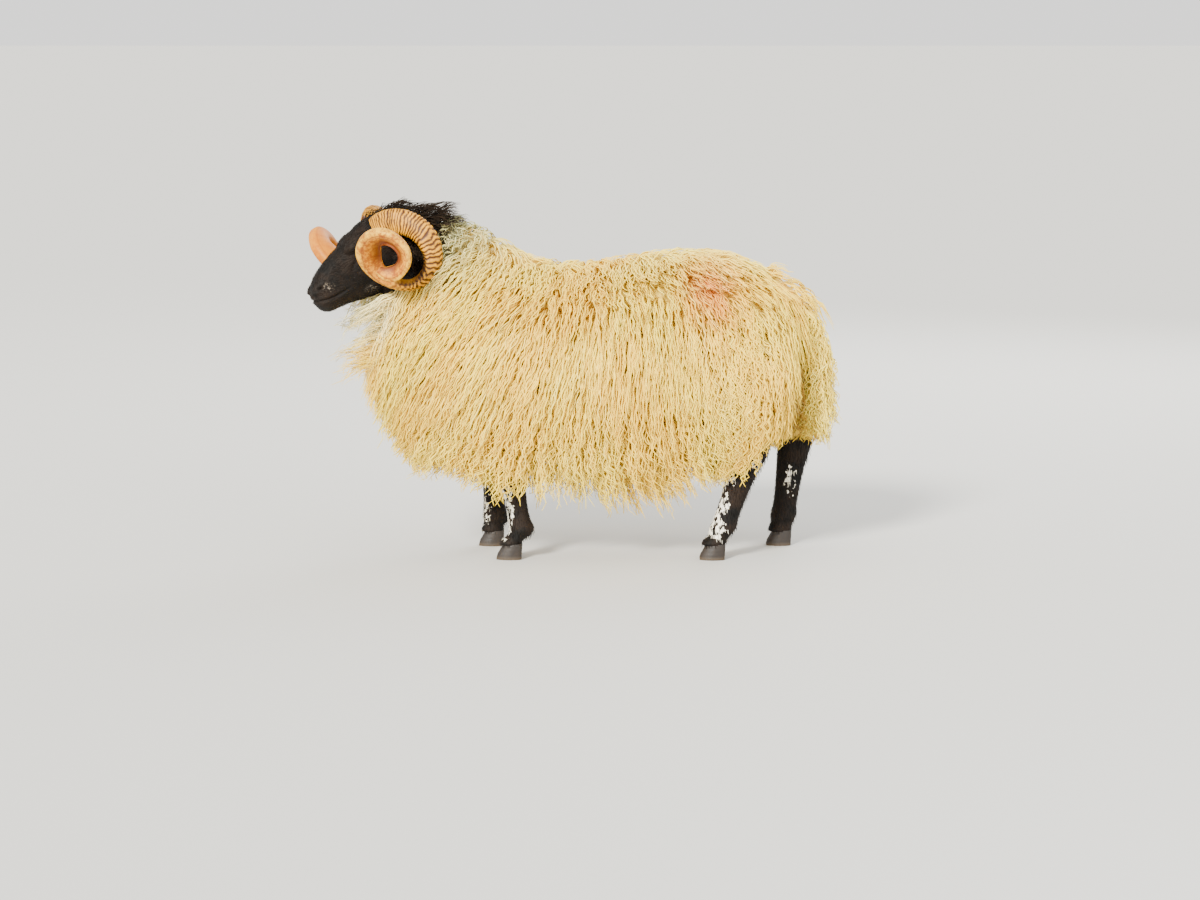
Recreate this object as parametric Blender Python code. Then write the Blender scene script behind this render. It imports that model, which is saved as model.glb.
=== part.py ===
# Scottish Blackface ram, standing, life size, as a still model.
# Metres, +Z up, hooves on Z = 0. The ram faces -Y with its left side at +X, its head turned to its left.

import math
import random

import bmesh
import bpy
import numpy as np
from mathutils import Matrix, Vector
from mathutils.bvhtree import BVHTree

# Driving sizes of the animal
GAP = 0.0003  # clearance kept between two nodes
POLL = Vector((0.015, -0.479, 0.874))  # top of the skull between the horns
HEAD_YAW = 20  # degrees that the face turns to the ram's left
HEAD_PITCH = 35  # degrees that the face slopes down
HEAD_ROLL = 0  # degrees that the skull leans over
EYE_RADIUS = 0.0145
LID_THICKNESS = 0.0035
EYE_PLACE = (0.0515, 0.114, -0.020)  # outwards, forwards, up from the poll
HOOF_HEIGHT = 0.040
CLAW_LENGTH = 0.064
CLAW_WIDTH = 0.026
CLAW_SPREAD = 0.0145  # from the middle of the foot to the middle of a claw
HEAD_CUT = Vector((0.015, -0.455, 0.80))  # point of the upright parting behind the jaw
NECK_CUT = ((0, -0.15, 0.785), (0, -0.535, 0.845))  # point and normal of the neck's parting from the torso
TAIL_CUT = ((0, 0.588, 0.50), (0, 1, 0))  # point and normal of the tail's parting from the torso
TAIL_ROOM = 0.012  # room round the tail's form for the sides of its locks
LIMB_ROOT_RINGS = 12  # rings of a leg, from its top, that stand inside the wool of the body
LEG_RINGS = 16
LEG_CUTS = {"fore": 0.240, "hind": 0.262}  # heights at which the legs leave the torso

# Sections of the torso out to the tips of its wool: Y, middle height, half width, reach up, reach down
TORSO = (
    (-0.532, 0.455, 0.080, 0.090, 0.100),
    (-0.490, 0.455, 0.155, 0.180, 0.170),
    (-0.420, 0.465, 0.210, 0.220, 0.245),
    (-0.330, 0.465, 0.240, 0.265, 0.257),
    (-0.200, 0.460, 0.255, 0.300, 0.280),
    (-0.050, 0.455, 0.262, 0.292, 0.297),
    (0.120, 0.460, 0.265, 0.308, 0.320),
    (0.270, 0.465, 0.262, 0.317, 0.333),
    (0.400, 0.475, 0.250, 0.297, 0.300),
    (0.500, 0.490, 0.215, 0.248, 0.235),
    (0.568, 0.490, 0.165, 0.195, 0.185),
    (0.600, 0.490, 0.120, 0.145, 0.130),
)
# Sections of the neck out to the tips of its wool, from the shoulders to the skull:
# X, Y, Z of the middle, half width, half height
NECK = (
    (0.000, -0.150, 0.560, 0.215, 0.215),
    (0.002, -0.230, 0.635, 0.200, 0.205),
    (0.005, -0.300, 0.687, 0.170, 0.190),
    (0.010, -0.360, 0.727, 0.130, 0.172),
    (0.014, -0.420, 0.765, 0.090, 0.155),
    (0.020, -0.490, 0.785, 0.066, 0.125),
)
# Sections of the tail out to the tips of its wool, from its root down: Y, Z, half width, half depth
TAIL = (
    (0.460, 0.690, 0.050, 0.034),
    (0.540, 0.695, 0.056, 0.034),
    (0.592, 0.630, 0.070, 0.044),
    (0.620, 0.540, 0.080, 0.048),
    (0.627, 0.440, 0.078, 0.043),
    (0.624, 0.350, 0.060, 0.034),
    (0.624, 0.285, 0.026, 0.018),
)
# Sections of a foreleg and a hind leg: Z, half width, half depth, shift in Y from the foot's line
FORELEG = (
    (0.400, 0.062, 0.085, -0.045),
    (0.330, 0.046, 0.058, -0.035),
    (0.275, 0.035, 0.042, -0.020),
    (0.242, 0.034, 0.041, -0.016),
    (0.200, 0.028, 0.033, -0.010),
    (0.140, 0.025, 0.030, 0.000),
    (0.100, 0.026, 0.031, 0.006),
    (0.077, 0.030, 0.034, 0.010),
    (0.058, 0.027, 0.029, 0.002),
    (0.042, 0.029, 0.031, -0.012),
)
HINDLEG = (
    (0.460, 0.075, 0.120, 0.040),
    (0.360, 0.055, 0.080, 0.070),
    (0.300, 0.037, 0.050, 0.096),
    (0.266, 0.035, 0.047, 0.092),
    (0.215, 0.029, 0.041, 0.070),
    (0.150, 0.026, 0.036, 0.048),
    (0.105, 0.026, 0.034, 0.032),
    (0.080, 0.030, 0.036, 0.024),
    (0.060, 0.027, 0.031, 0.014),
    (0.042, 0.029, 0.033, 0.000),
)
# Sections of the wool round each thigh, from the rump to the hock: height, X, Y, half width, half depth
THIGHS = {
    "left": (
        (0.620, 0.080, 0.440, 0.080, 0.090),
        (0.500, 0.125, 0.440, 0.120, 0.140),
        (0.380, 0.140, 0.430, 0.112, 0.130),
        (0.280, 0.138, 0.430, 0.092, 0.098),
        (0.210, 0.130, 0.432, 0.066, 0.066),
        (0.170, 0.126, 0.430, 0.040, 0.040),
    ),
    "right": (
        (0.620, -0.080, 0.450, 0.080, 0.090),
        (0.500, -0.125, 0.470, 0.120, 0.130),
        (0.400, -0.138, 0.490, 0.108, 0.108),
        (0.320, -0.132, 0.530, 0.080, 0.076),
        (0.265, -0.126, 0.550, 0.062, 0.060),
        (0.235, -0.124, 0.554, 0.042, 0.046),
    ),
}
# Each foot: kind of leg, X and Y of the foot, and how much of the leg's lean it keeps
FEET = {
    "foreleg_left": ("fore", 0.112, -0.148, 1.3),
    "foreleg_right": ("fore", -0.112, -0.212, 0.3),
    "hindleg_left": ("hind", 0.118, 0.352, 1.0),
    "hindleg_right": ("hind", -0.118, 0.532, 0.4),
}
# Sections of the skull along the face: forwards from the poll, half width, top, bottom, roundness
SKULL = (
    (-0.050, 0.052, -0.010, -0.120, 2.2),
    (0.000, 0.062, 0.006, -0.140, 2.3),
    (0.038, 0.068, 0.018, -0.156, 2.4),
    (0.076, 0.068, 0.021, -0.162, 2.4),
    (0.110, 0.064, 0.014, -0.162, 2.3),
    (0.144, 0.055, 0.006, -0.155, 2.2),
    (0.182, 0.046, 0.000, -0.142, 2.2),
    (0.215, 0.042, -0.008, -0.130, 2.3),
    (0.243, 0.042, -0.019, -0.123, 2.4),
    (0.264, 0.039, -0.032, -0.118, 2.4),
    (0.278, 0.030, -0.046, -0.108, 2.2),
    (0.285, 0.014, -0.062, -0.094, 2.0),
)
# The horn's line: turn in degrees (90 on top, 180 behind), radius of the coil,
# its middle forwards, up and outwards, and the horn's half width across the coil and half thickness
HORN = (
    (75, 0.072, 0.030, -0.082, 0.052, 0.031, 0.028),
    (120, 0.075, 0.034, -0.085, 0.070, 0.032, 0.028),
    (165, 0.073, 0.037, -0.085, 0.088, 0.030, 0.027),
    (210, 0.0715, 0.041, -0.085, 0.108, 0.0245, 0.026),
    (255, 0.0735, 0.046, -0.083, 0.129, 0.0215, 0.024),
    (300, 0.0755, 0.054, -0.079, 0.149, 0.0220, 0.023),
    (345, 0.0715, 0.066, -0.069, 0.167, 0.0270, 0.023),
    (390, 0.060, 0.083, -0.055, 0.184, 0.031, 0.022),
    (435, 0.050, 0.097, -0.044, 0.197, 0.027, 0.020),
    (480, 0.047, 0.104, -0.039, 0.207, 0.0235, 0.019),
    (525, 0.045, 0.106, -0.038, 0.214, 0.020, 0.017),
    (570, 0.045, 0.106, -0.038, 0.220, 0.018, 0.015),
    (615, 0.045, 0.106, -0.038, 0.224, 0.018, 0.013),
    (660, 0.047, 0.105, -0.040, 0.227, 0.020, 0.011),
    (700, 0.047, 0.104, -0.042, 0.230, 0.011, 0.006),
)
HORN_TOE = 38  # degrees that the coils' axes turn from straight outwards towards the front
HORN_RINGS = 53
HORN_SIDES = 8
HORN_RIDGE = 0.12  # how far every other ring stands out, as a share of the horn's thickness
RIGHT_HORN_FORWARD = 0.040  # how much further forwards the right horn's second coil sits than the left one's
# The ear's line: outwards, forwards, up from the poll, half width
EAR = (
    (0.050, 0.058, -0.052, 0.013),
    (0.078, 0.054, -0.062, 0.021),
    (0.108, 0.048, -0.074, 0.026),
    (0.136, 0.042, -0.086, 0.021),
    (0.158, 0.038, -0.098, 0.007),
)

# How far the core under the locks stays inside the tips of the wool
CORE_INSET = {
    "side": 0.045,
    "back": 0.030,
    "belly": 0.082,
    "ends": 0.045,
    "neck": 0.036,
    "thigh": 0.032,
    "tail": 0.020,
}
THINNEST_CORE = 0.020
# Each kind of lock: spacing of the roots, length, width, thickness
LOCKS = {
    "side": (0.092, 0.235, 0.118, 0.026),
    "back": (0.078, 0.175, 0.114, 0.024),
    "belly": (0.096, 0.130, 0.108, 0.024),
    "chest": (0.086, 0.195, 0.106, 0.026),
    "neck": (0.076, 0.160, 0.098, 0.024),
    "poll": (0.046, 0.075, 0.056, 0.022),
    "tail": (0.056, 0.130, 0.072, 0.018),
}
# Rings of a lock: share of its length, of its width, of its thickness, and its height between core and tips
LOCK_RINGS = (
    (0.00, 0.60, 1.00, -0.50),
    (0.42, 1.00, 1.00, 0.50),
    (0.74, 0.66, 0.80, 0.76),
    (1.00, 0.00, 0.00, 0.97),
)
ROOT_LIFT = 0.65  # how far a lock stands off the skin at its root, before it bends over to hang
STIFFNESS = 0.35  # how much of its heading a lock keeps from ring to ring
SHALLOWEST_COAT = 0.012
SHORTEST_LOCK = 0.4  # share of its length under which a lock at a parting is left out
SHARPEST_BEND = 0.5  # cosine of the sharpest bend or twist of a lock from ring to ring
TIP_MARGIN = 0.001  # how far a lock's face stays inside the tips' form
LOWEST_WOOL = 0.132
LOCK_SEED = 9

FLEECE = ("fleece", (0.80, 0.70, 0.48), 0.95)
BLACK_HAIR = ("black_hair", (0.030, 0.025, 0.022), 0.70)
HORN_STUFF = ("horn", (0.62, 0.40, 0.19), 0.45)
HOOF_STUFF = ("hoof", (0.09, 0.07, 0.05), 0.40)
EYE_STUFF = ("eye", (0.32, 0.20, 0.06), 0.08)


def clear_scene():
    for thing in list(bpy.data.objects):
        bpy.data.objects.remove(thing)


def paint(thing, stuff):
    name, colour, roughness = stuff
    material = bpy.data.materials.get(name) or bpy.data.materials.new(name)
    material.use_nodes = True
    shader = material.node_tree.nodes["Principled BSDF"]
    shader.inputs["Base Color"].default_value = (*colour, 1)
    shader.inputs["Roughness"].default_value = roughness
    shader.inputs["Metallic"].default_value = 0.0
    thing.data.materials.clear()
    thing.data.materials.append(material)


def smooth_rows(rows, count):
    """Reads a table of sections at even steps along a smooth curve through its rows."""
    table = np.array(rows, float)
    slopes = np.gradient(table, axis=0)
    read = []
    for place in np.linspace(0, len(table) - 1, count):
        i = min(int(place), len(table) - 2)
        t = place - i
        rise = table[i] * (2 * t**3 - 3 * t**2 + 1) + table[i + 1] * (3 * t**2 - 2 * t**3)
        bend = slopes[i] * (t**3 - 2 * t**2 + t) + slopes[i + 1] * (t**3 - t**2)
        read.append(rise + bend)
    return read


def oval(middle, side, up, half_width, above, below, points, roundness=2.0):
    """A closed section in the plane of side and up, rounder or squarer as roundness says."""
    middle, side, up = Vector(middle), Vector(side), Vector(up)
    section = []
    for i in range(points):
        turn = math.tau * i / points
        across = math.copysign(abs(math.cos(turn)) ** (2 / roundness), math.cos(turn))
        lift = math.copysign(abs(math.sin(turn)) ** (2 / roundness), math.sin(turn))
        section.append(middle + side * half_width * across + up * (above if lift > 0 else below) * lift)
    return section


def wall(mesh, loops):
    """Triangles between each two neighbouring loops of equal length."""
    points = len(loops[0])
    for a, b in zip(loops, loops[1:]):
        for i in range(points):
            j = (i + 1) % points
            mesh.faces.new((a[i], a[j], b[j]))
            mesh.faces.new((a[i], b[j], b[i]))


def fan(mesh, loop, tip):
    for i in range(len(loop)):
        mesh.faces.new((tip, loop[i], loop[(i + 1) % len(loop)]))


def put_in_scene(name, mesh):
    bmesh.ops.recalc_face_normals(mesh, faces=mesh.faces)
    data = bpy.data.meshes.new(name)
    mesh.to_mesh(data)
    mesh.free()
    thing = bpy.data.objects.new(name, data)
    bpy.context.scene.collection.objects.link(thing)
    return thing


def loft(name, sections, rounded_ends=0.0):
    """A closed mesh through sections of equal length, each end capped round a middle point."""
    mesh = bmesh.new()
    loops = [[mesh.verts.new(point) for point in section] for section in sections]
    wall(mesh, loops)
    for loop, inner in ((loops[0], loops[1]), (loops[-1], loops[-2])):
        middle = sum((v.co for v in loop), Vector()) / len(loop)
        away = middle - sum((v.co for v in inner), Vector()) / len(loop)
        fan(mesh, loop, mesh.verts.new(middle + away.normalized() * rounded_ends))
    return put_in_scene(name, mesh)


def ball(name, middle, radii, segments=16, rings=10):
    bpy.ops.mesh.primitive_uv_sphere_add(segments=segments, ring_count=rings, radius=1)
    thing = bpy.context.object
    thing.name = name
    thing.data.transform(Matrix.LocRotScale(Vector(middle), None, Vector(radii)))
    return thing


def slab(name, point, normal, side, gap=GAP):
    """A large block on the side that normal points to (or away, for side -1), past point by half the gap."""
    size = 3
    bpy.ops.mesh.primitive_cube_add(size=size)
    thing = bpy.context.object
    thing.name = name
    facing = Vector(normal).normalized()
    turn = facing.to_track_quat("Z", "Y").to_matrix().to_4x4()
    middle = Vector(point) + facing * side * (size - gap) / 2
    thing.data.transform(Matrix.Translation(middle) @ turn)
    return thing


def combine(thing, others, operation="UNION", solver="MANIFOLD"):
    """Joins others to thing, or cuts them from it, in one Boolean, and removes them."""
    group = bpy.data.collections.new("pieces")
    bpy.context.scene.collection.children.link(group)
    for other in others:
        for home in list(other.users_collection):
            home.objects.unlink(other)
        group.objects.link(other)
    boolean = thing.modifiers.new("combine", "BOOLEAN")
    boolean.operation = operation
    boolean.solver = solver
    boolean.operand_type = "COLLECTION"
    boolean.collection = group
    bpy.context.view_layer.update()
    graph = bpy.context.evaluated_depsgraph_get()
    made = bpy.data.meshes.new_from_object(thing.evaluated_get(graph))
    thing.modifiers.clear()
    thing.data = made
    for other in list(group.objects):
        bpy.data.objects.remove(other)
    bpy.data.collections.remove(group)
    return thing


def keep_largest(thing):
    """Drops all but the closed surface with the most volume, with any sealed hollow in it."""
    mesh = bmesh.new()
    mesh.from_mesh(thing.data)
    bmesh.ops.triangulate(mesh, faces=mesh.faces)
    bmesh.ops.remove_doubles(mesh, verts=mesh.verts, dist=1e-6)
    left, shells = set(mesh.verts), []
    while left:
        shell, front = set(), [left.pop()]
        while front:
            vert = front.pop()
            shell.add(vert)
            for edge in vert.link_edges:
                other = edge.other_vert(vert)
                if other in left:
                    left.remove(other)
                    front.append(other)
        faces = {face for vert in shell for face in vert.link_faces}
        volume = sum(f.verts[0].co.dot(f.verts[1].co.cross(f.verts[2].co)) for f in faces)
        shells.append((volume, shell))
    best = max(shells, key=lambda pair: pair[0])[1]
    bmesh.ops.delete(mesh, geom=[v for v in mesh.verts if v not in best], context="VERTS")
    mesh.to_mesh(thing.data)
    mesh.free()
    return thing


def part_with(thing, name, point, normal, side):
    """A copy of thing, cut to the side of a plane that normal points to (or away, for side -1)."""
    copy = bpy.data.objects.new(name, thing.data.copy())
    bpy.context.scene.collection.objects.link(copy)
    combine(copy, [slab("half_space", point, normal, -side)], "DIFFERENCE")
    return keep_largest(copy)


def finish(thing, stuff):
    paint(thing, stuff)
    thing.data.shade_smooth()
    thing.data.set_sharp_from_angle(angle=math.radians(35))
    return thing


def head_matrix():
    turn = Matrix.Rotation(math.radians(HEAD_YAW), 4, "Z")
    slope = Matrix.Rotation(math.radians(HEAD_PITCH), 4, "X")
    lean = Matrix.Rotation(math.radians(HEAD_ROLL), 4, "Y")
    return Matrix.Translation(POLL) @ turn @ slope @ lean


def head_facing():
    """The level direction from the face to the neck."""
    return Matrix.Rotation(math.radians(HEAD_YAW), 3, "Z") @ Vector((0, 1, 0))


def on_head(outwards, forwards, up, side=1):
    """A point of the head, from distances outwards to one side, forwards and up from the poll."""
    return head_matrix() @ Vector((side * outwards, -forwards, up))


def skull_sections(points, count, extra=0.0):
    matrix = head_matrix()
    side, up = matrix.to_3x3() @ Vector((1, 0, 0)), matrix.to_3x3() @ Vector((0, 0, 1))
    for forwards, half_width, top, bottom, roundness in smooth_rows(SKULL, count):
        middle = matrix @ Vector((0, -forwards, (top + bottom) / 2))
        half = (top - bottom) / 2 + extra
        yield oval(middle, side, up, half_width + extra, half, half, points, roundness)


def skull_at(forwards, up):
    """Half the skull's width at a place on its side."""
    table = np.array(SKULL)
    half_width, top, bottom, roundness = (
        float(np.interp(forwards, table[:, 0], table[:, k])) for k in range(1, 5)
    )
    lift = min(1.0, abs(up - (top + bottom) / 2) / ((top - bottom) / 2))
    return half_width * (1 - lift**roundness) ** (1 / roundness)


def mouth_cut():
    """A horseshoe blade round the muzzle along the line of the lips."""
    corner = ((0.178, -0.103), (0.196, -0.104), (0.224, -0.102))
    front = ((0.250, -0.096), (0.270, -0.088), (0.281, -0.082))
    lips = corner + front
    depth, reach, half_gap = 0.007, 0.004, 0.0009
    right = [(forwards, up, 1) for forwards, up in lips]
    left = [(forwards, up, -1) for forwards, up in reversed(lips)]
    sections = []
    for forwards, up, side in [*right, (0.2855, -0.079, 0), *left]:
        width = skull_at(forwards, up)
        ahead = max(0.0, (forwards - 0.24) / 0.048)
        across = side * (1 - 0.4 * ahead)
        corners = []
        for push, lift in ((-depth, -1), (reach, -1), (reach, 1), (-depth, 1)):
            place = (side * width + across * push, forwards + ahead * push, up + lift * half_gap)
            corners.append(on_head(*place))
        sections.append(corners)
    return loft("mouth_cut", sections)


def nostril_cut(side):
    """A slanting slit that curls back along the side of the nose."""
    slit = (
        (0.011, 0.290, -0.064, 0.002, 0.002),
        (0.017, 0.280, -0.056, 0.004, 0.005),
        (0.025, 0.268, -0.049, 0.004, 0.005),
        (0.033, 0.256, -0.047, 0.003, 0.003),
        (0.040, 0.247, -0.050, 0.001, 0.001),
    )
    matrix = head_matrix().to_3x3()
    across, up = matrix @ Vector((side * 0.6, -0.8, 0)), matrix @ Vector((0, 0, 1))
    sections = [
        oval(on_head(out, forwards, lift, side), across, up, wide, high, high, 6)
        for out, forwards, lift, wide, high in slit
    ]
    return loft("nostril_cut", sections)


def lid_opening(side):
    """An almond blade that opens the lids over the eyeball."""
    almond = []
    matrix = head_matrix().to_3x3()
    outwards = matrix @ Vector((side, 0, 0))
    middle = on_head(*EYE_PLACE, side)
    long, high = 0.0165, 0.0100
    for reach in (0.004, 0.045):
        section = []
        for i in range(14):
            turn = math.tau * i / 14
            lift = math.copysign(abs(math.sin(turn)) ** 1.4, math.sin(turn))
            along = matrix @ Vector((0, -long * math.cos(turn), high * lift + 0.004 * math.cos(turn)))
            section.append(middle + outwards * reach + along)
        almond.append(section)
    return loft("lid_opening", almond)


def eye_ball(side, extra=0.0):
    radius = EYE_RADIUS + extra
    name = "eye_left" if side > 0 else "eye_right"
    return ball(name, on_head(*EYE_PLACE, side), (radius,) * 3, 12, 8)


def swellings(side, extra):
    """The lids with the brow over them, the nostril's wing and the upper lip."""
    outwards, forwards, up = EYE_PLACE
    pieces = []
    for place, radii in (
        ((outwards + 0.001, forwards, up), (EYE_RADIUS + LID_THICKNESS,) * 3),
        ((outwards - 0.016, forwards - 0.004, up + 0.010), (0.026, 0.044, 0.020)),
        ((0.021, 0.252, -0.050), (0.018, 0.034, 0.015)),
        ((0.024, 0.224, -0.090), (0.018, 0.048, 0.016)),
    ):
        blob = ball("bulge", (0, 0, 0), [radius + extra for radius in radii], 10, 6)
        blob.data.transform(head_matrix() @ Matrix.Translation((side * place[0], -place[1], place[2])))
        pieces.append(blob)
    return pieces


def full_head(extra=0.0):
    """The head with no openings cut yet, or a form that much larger all round to cut its neighbours with."""
    head = loft("head", list(skull_sections(19, 16, extra)), rounded_ends=0.003)
    return combine(head, [piece for side in (1, -1) for piece in swellings(side, extra)])


def make_head():
    head = full_head()
    cuts = [mouth_cut()]
    for side in (1, -1):
        cuts += [nostril_cut(side), lid_opening(side), eye_ball(side, GAP)]
    combine(head, cuts, "DIFFERENCE")
    combine(head, [head_slab(1)], "DIFFERENCE")
    return keep_largest(head)


def head_slab(side, gap=GAP):
    """Block on the face's side (-1) or the neck's side (1) of the plane behind the jaw."""
    return slab("head_slab", HEAD_CUT, head_facing(), side, gap)


def horn_line(side, count):
    """Middle, radius arm and sizes of each section of a horn, in the head's own frame for the left side."""
    toe = math.radians(HORN_TOE)
    for turn, radius, forwards, up, outwards, wide, thick in smooth_rows(HORN, count):
        angle = math.radians(turn)
        ahead = Vector((-math.sin(toe), -math.cos(toe), 0))
        arm = ahead * math.cos(angle) + Vector((0, 0, math.sin(angle)))
        if side < 0:
            forwards += RIGHT_HORN_FORWARD * min(1.0, max(0.0, (turn - 165) / 240))
        middle = Vector((outwards, -forwards, up)) + arm * radius
        yield middle, arm, wide, thick


def horn_sections(side, count, points, extra=0.0):
    """Sections of a horn, flat outside with a keel on the outer edge, and ridged on its first coil."""
    matrix = head_matrix()
    line = list(horn_line(side, count))
    sections = []
    for n, (middle, arm, wide, thick) in enumerate(line):
        before, after = line[max(n - 1, 0)][0], line[min(n + 1, count - 1)][0]
        along = (after - before).normalized()
        outer = (arm - along * arm.dot(along)).normalized()
        face = along.cross(outer)
        if face.x < 0:
            face = -face
        share = n / (count - 1)
        swell = 1 + HORN_RIDGE * (n % 2) * max(0.0, 1 - share / 0.75)
        section = []
        for i in range(points):
            turn = math.tau * i / points
            keel = 1 + 0.10 * math.cos(turn)
            across = math.cos(turn) * (wide * swell + extra) * keel
            lift = math.sin(turn) * (thick * swell + extra) * (1 - 0.35 * math.cos(turn))
            point = middle + outer * across + face * lift
            section.append(matrix @ Vector((side * point.x, point.y, point.z)))
        sections.append(section)
    return sections


def clear_of_head(thing):
    """Cuts what grows from the head flush with it, less the gap."""
    combine(thing, [full_head(GAP)], "DIFFERENCE")
    return keep_largest(thing)


def make_horn(side):
    name = "horn_left" if side > 0 else "horn_right"
    return clear_of_head(loft(name, horn_sections(side, HORN_RINGS, HORN_SIDES), rounded_ends=0.002))


def ear_sections(side, extra=0.0):
    """Sections of a leaf-shaped ear with a cup along its front face."""
    turned = head_matrix().to_3x3()
    width_way = turned @ Vector((0, -0.35, 0.94))
    cup_way = turned @ Vector((0, -0.94, -0.35))
    thickness, cup_share = 0.0045, 0.55
    sections = []
    for outwards, forwards, up, half_width in smooth_rows(EAR, 9):
        middle = on_head(outwards, forwards, up, side)
        wide = half_width + extra
        section = []
        for step in (-1, -0.6, 0, 0.6, 1):
            section.append(middle + width_way * wide * step - cup_way * (thickness + extra))
        for step in (0.75, 0.35, -0.35, -0.75):
            dip = cup_share * half_width * (1 - step * step) - thickness
            rise = thickness * 0.6 - dip * 0.35 + extra
            section.append(middle + width_way * wide * step + cup_way * rise)
        sections.append(section)
    return sections


def make_ear(side):
    name = "ear_left" if side > 0 else "ear_right"
    return clear_of_head(loft(name, ear_sections(side), rounded_ends=0.002))


def leg_sections(foot, count, points, extra=0.0):
    kind, x, y, lean = FEET[foot]
    table = FORELEG if kind == "fore" else HINDLEG
    for z, wide, deep, shift in smooth_rows(table, count):
        middle = (x, y + shift * lean, z)
        yield oval(middle, (1, 0, 0), (0, 1, 0), wide + extra, deep + extra, deep + extra, points)


def leg_form(foot, extra=0.0, rise=0.0):
    """The leg up to where it meets the torso, or a larger form that reaches higher by rise."""
    leg = loft(foot, list(leg_sections(foot, LEG_RINGS, 9, extra)))
    cut = LEG_CUTS[FEET[foot][0]] + rise
    return combine(leg, [slab("top", (0, 0, cut), (0, 0, 1), 1)], "DIFFERENCE")


def make_leg(foot):
    """The leg from the torso down to the coronet, with its dewclaws."""
    leg = leg_form(foot)
    x, y = FEET[foot][1:3]
    apart, behind, height = 0.013, 0.034, 0.070
    radii = (0.008, 0.009, 0.012)
    places = [(x + side * apart, y + behind, height) for side in (1, -1)]
    combine(leg, [ball("dewclaw", place, radii, 8, 6) for place in places])
    combine(leg, [slab("bottom", (0, 0, HOOF_HEIGHT + GAP), (0, 0, 1), -1)], "DIFFERENCE")
    return keep_largest(leg)


def make_claw(foot, side):
    """One of a foot's two claws: a flat sole, a sloping toe and a low heel."""
    x, y = FEET[foot][1:3]
    kind = FEET[foot][0]
    middle_y = y - 0.012 * (FEET[foot][3] if kind == "fore" else 0)
    sections = []
    for z, length, width, set_back in (
        (0.0, 1.0, 1.0, 0.0),
        (0.012, 0.97, 0.98, 0.002),
        (0.028, 0.84, 0.92, 0.007),
        (HOOF_HEIGHT, 0.72, 0.86, 0.010),
    ):
        section = []
        for i in range(10):
            turn = math.tau * i / 10
            toe = max(0.0, -math.sin(turn))
            across = math.cos(turn) * CLAW_WIDTH / 2 * width * (1 - 0.35 * toe**2)
            along = math.sin(turn) * CLAW_LENGTH / 2 * length + set_back - 0.004
            section.append(Vector((x + side * (CLAW_SPREAD - 0.002 * toe) + across, middle_y + along, z)))
        sections.append(section)
    end = "outer" if side * x > 0 else "inner"
    return loft(f"hoof_{foot}_{end}", sections)


def torso_form(core=False):
    """The torso out to the tips of the wool, or only the core under the locks."""
    inset = CORE_INSET if core else dict.fromkeys(CORE_INSET, 0.0)
    front, back = TORSO[0][0], TORSO[-1][0]
    sections = []
    for y, z, half_width, above, below in smooth_rows(TORSO, 20 if core else 26):
        y = np.interp(y, (front, back), (front + inset["ends"], back - inset["ends"]))
        sizes = (half_width - inset["side"], above - inset["back"], below - inset["belly"])
        sizes = [max(THINNEST_CORE, size) for size in sizes]
        sections.append(oval((0, y, z), (1, 0, 0), (0, 0, 1), *sizes, 20, 2.3))
    return loft("torso_form", sections, rounded_ends=0.012)


def thigh_form(side, core=False):
    inset = CORE_INSET["thigh"] if core else 0.0
    sections = []
    for z, x, y, half_width, half_depth in smooth_rows(THIGHS[side], 9):
        wide, deep = max(THINNEST_CORE, half_width - inset), max(THINNEST_CORE, half_depth - inset)
        sections.append(oval((x, y, z + inset), (1, 0, 0), (0, 1, 0), wide, deep, deep, 12))
    return loft("thigh_form", sections, rounded_ends=0.01)


def neck_form(core=False):
    inset = CORE_INSET["neck"] if core else 0.0
    rows = smooth_rows(NECK, 8)
    sections = []
    for n, (x, y, z, half_width, half_height) in enumerate(rows):
        after, before = rows[min(n + 1, len(rows) - 1)], rows[max(n - 1, 0)]
        along = Vector(after[:3] - before[:3]).normalized()
        side = Vector((0, 0, 1)).cross(along).normalized()
        up = along.cross(side)
        high = half_height - inset
        sections.append(oval((x, y, z), side, up, half_width - inset, high, high, 18, 2.1))
    neck = loft("neck_form", sections)
    return combine(neck, [head_slab(-1)], "DIFFERENCE")


def tail_form(core=False, extra=0.0):
    inset = CORE_INSET["tail"] if core else -extra
    rows = smooth_rows(TAIL, 8)
    sections = []
    for n, (y, z, half_width, half_depth) in enumerate(rows):
        after, before = rows[min(n + 1, len(rows) - 1)], rows[max(n - 1, 0)]
        along = Vector((0, after[0] - before[0], after[1] - before[1])).normalized()
        behind = Vector((1, 0, 0)).cross(along)
        wide, deep = max(THINNEST_CORE / 2, half_width - inset), max(THINNEST_CORE / 2, half_depth - inset)
        sections.append(oval((0, y, z), (1, 0, 0), behind, wide, deep, deep, 12))
    return loft("tail_form", sections, rounded_ends=0.01)


def surface_tree(thing):
    mesh = bmesh.new()
    mesh.from_mesh(thing.data)
    tree = BVHTree.FromBMesh(mesh)
    mesh.free()
    return tree


def above_neck_cut(place):
    """How far a place lies on the neck's side of the parting from the torso."""
    point, normal = NECK_CUT
    return (place - Vector(point)).dot(Vector(normal).normalized())


def lock_kind(place, normal):
    """Which kind of lock grows at a place of the body's core."""
    if place.y < -0.34 and place.z > 0.80 and normal.z > 0.1:
        return "poll"
    if above_neck_cut(place) > 0 and place.y < -0.22:
        return "neck"
    if normal.z > 0.6:
        return "back"
    if normal.z < -0.4:
        return "belly"
    return "chest" if place.y < -0.33 else "side"


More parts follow.
